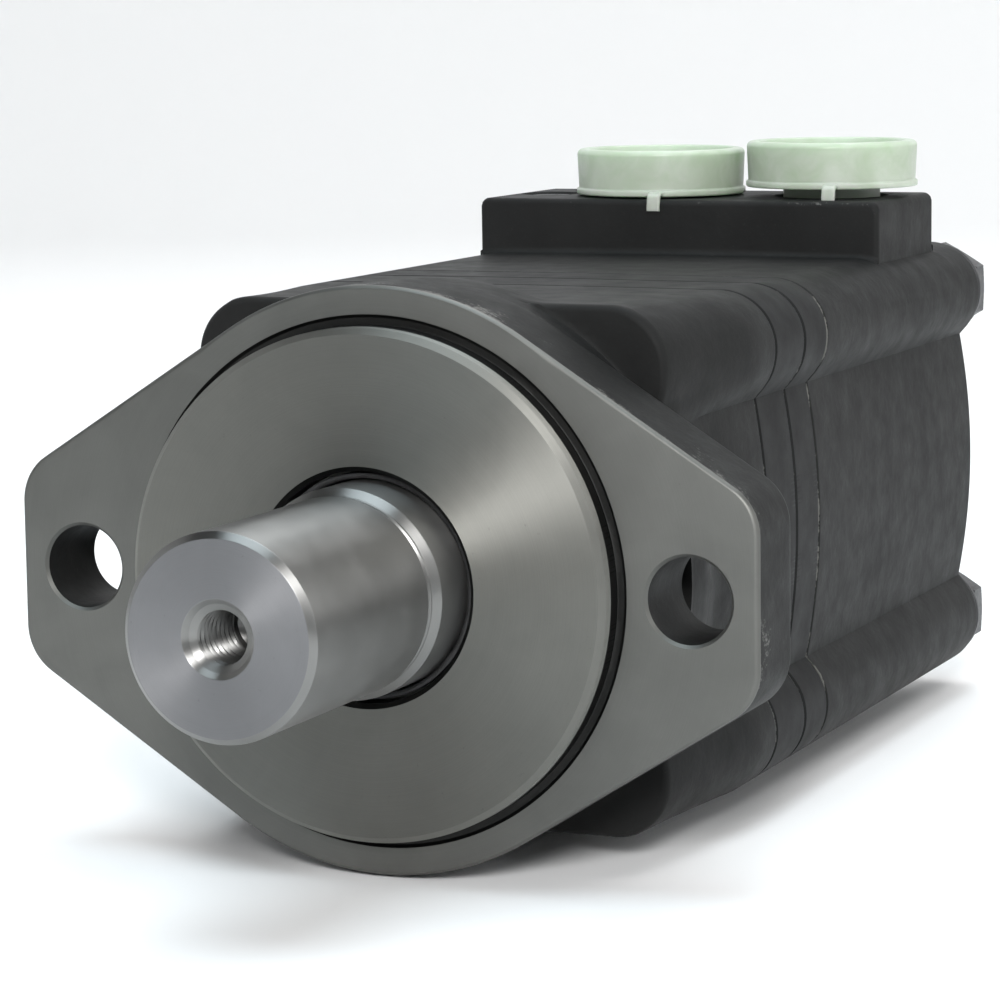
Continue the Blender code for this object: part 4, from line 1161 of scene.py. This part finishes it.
def floor():
    """A pale floor under the flange's lowest point that sweeps up to a wall all round."""
    flat, bend, height, gap = 1.6, 0.7, 2.0, 0.0006
    line = [(flat, 0.0)]
    for t in np.linspace(0.0, math.pi / 2, 17)[1:]:
        line.append((flat + bend * math.sin(t), bend - bend * math.cos(t)))
    line.append((flat + bend, height))
    seg = 96
    t = np.arange(seg) * 2 * math.pi / seg
    points = np.concatenate([np.stack([r * np.cos(t), r * np.sin(t), np.full(seg, z)], 1) for r, z in line])
    faces = [list(range(seg))]
    for k in range(len(line) - 1):
        a = k * seg + np.arange(seg)
        b = k * seg + (np.arange(seg) + 1) % seg
        faces += np.stack([a, a + seg, b + seg, b], 1).tolist()
    mesh = bpy.data.meshes.new("floor")
    mesh.from_pydata(points.tolist(), [], faces)
    mesh.shade_smooth()
    obj = make_object("floor", mesh)
    obj.location.z = cad_box[0].z - gap
    obj.data.materials.append(stage_material((0.9, 0.9, 0.9)))
    obj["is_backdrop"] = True


MIDDLE = (0.0, 0.06, 0.0)
WHITE = (1.0, 1.0, 1.0)


def area_light(name, azimuth, elevation, distance, size, power, aim=MIDDLE, colour=WHITE):
    """A soft round light about the part's middle. Azimuth 0 is in front of the shaft, 90 on its right."""
    data = bpy.data.lights.new(name, "AREA")
    data.shape = "DISK"
    data.size = size
    data.energy = power
    data.color = colour
    obj = bpy.data.objects.new(name, data)
    bpy.context.scene.collection.objects.link(obj)
    a, e = math.radians(azimuth), math.radians(elevation)
    back = Vector((math.sin(a) * math.cos(e), -math.cos(a) * math.cos(e), math.sin(e)))
    obj.location = Vector(MIDDLE) + back * distance
    obj.rotation_mode = "QUATERNION"
    obj.rotation_quaternion = (Vector(aim) - obj.location).to_track_quat("-Z", "Y")
    obj.visible_camera = False


def lights():
    """A bright upper right key for the turned faces, soft fill lights and a lit backdrop."""
    world = bpy.data.worlds.new("studio")
    bpy.context.scene.world = world
    world.use_nodes = True
    background = world.node_tree.nodes["Background"]
    background.inputs["Color"].default_value = (1.0, 1.0, 1.0, 1.0)
    background.inputs["Strength"].default_value = 0.06
    area_light("key", 22.0, 24.0, 1.3, 0.3, 15.0)
    area_light("top", -10.0, 80.0, 1.2, 0.9, 10.0, colour=(0.8, 0.93, 1.0))
    area_light("right", 100.0, 20.0, 1.4, 0.7, 3.5)
    area_light("backdrop", 160.0, 62.0, 1.9, 1.4, 19.0, aim=(-0.55, 1.6, 0.0))
    area_light("rear", 200.0, 50.0, 1.6, 0.8, 4.0)


CAMERA_AZIMUTH = 23.45
CAMERA_ELEVATION = 7.94
CAMERA_ROLL = -0.71
CAMERA_TARGET = (0.0220, 0.0, 0.0141)
CAMERA_DISTANCE = 0.5616
CAMERA_LENS = 129.27
CAMERA_SHIFT = (-0.0009, 0.0019)


def camera():
    """The photograph's view of the part."""
    data = bpy.data.cameras.new("camera")
    data.lens = CAMERA_LENS
    data.sensor_width = 36.0
    data.clip_start = 0.01
    data.shift_x, data.shift_y = CAMERA_SHIFT
    obj = bpy.data.objects.new("camera", data)
    bpy.context.scene.collection.objects.link(obj)
    a, e = math.radians(CAMERA_AZIMUTH), math.radians(CAMERA_ELEVATION)
    back = Vector((math.sin(a) * math.cos(e), -math.cos(a) * math.cos(e), math.sin(e)))
    level = back.cross(Vector((0.0, 0.0, -1.0))).normalized()
    upright = back.cross(level)
    roll = math.radians(CAMERA_ROLL)
    right = math.cos(roll) * level + math.sin(roll) * upright
    up = -math.sin(roll) * level + math.cos(roll) * upright
    matrix = Matrix((right, up, back)).transposed().to_4x4()
    matrix.translation = Vector(CAMERA_TARGET) + back * CAMERA_DISTANCE
    obj.matrix_world = matrix
    bpy.context.scene.camera = obj


def colour_management():
    """Plain colours, without a film look."""
    view = bpy.context.scene.view_settings
    view.view_transform = "Standard"
    view.look = "None"


camera()
colour_management()
front_casting()
gerotor_ring()
timing_plate()
rear_casting()
through_bolts()
output_shaft()
dust_lip()
plug()
port_cap("left", "cap_left")
port_cap("right", "cap_right")
inner_parts()
floor()
lights()

boxes = {"cad": cad_box, "visual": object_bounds()}
{k: [list(low), list(high)] for k, (low, high) in boxes.items()}
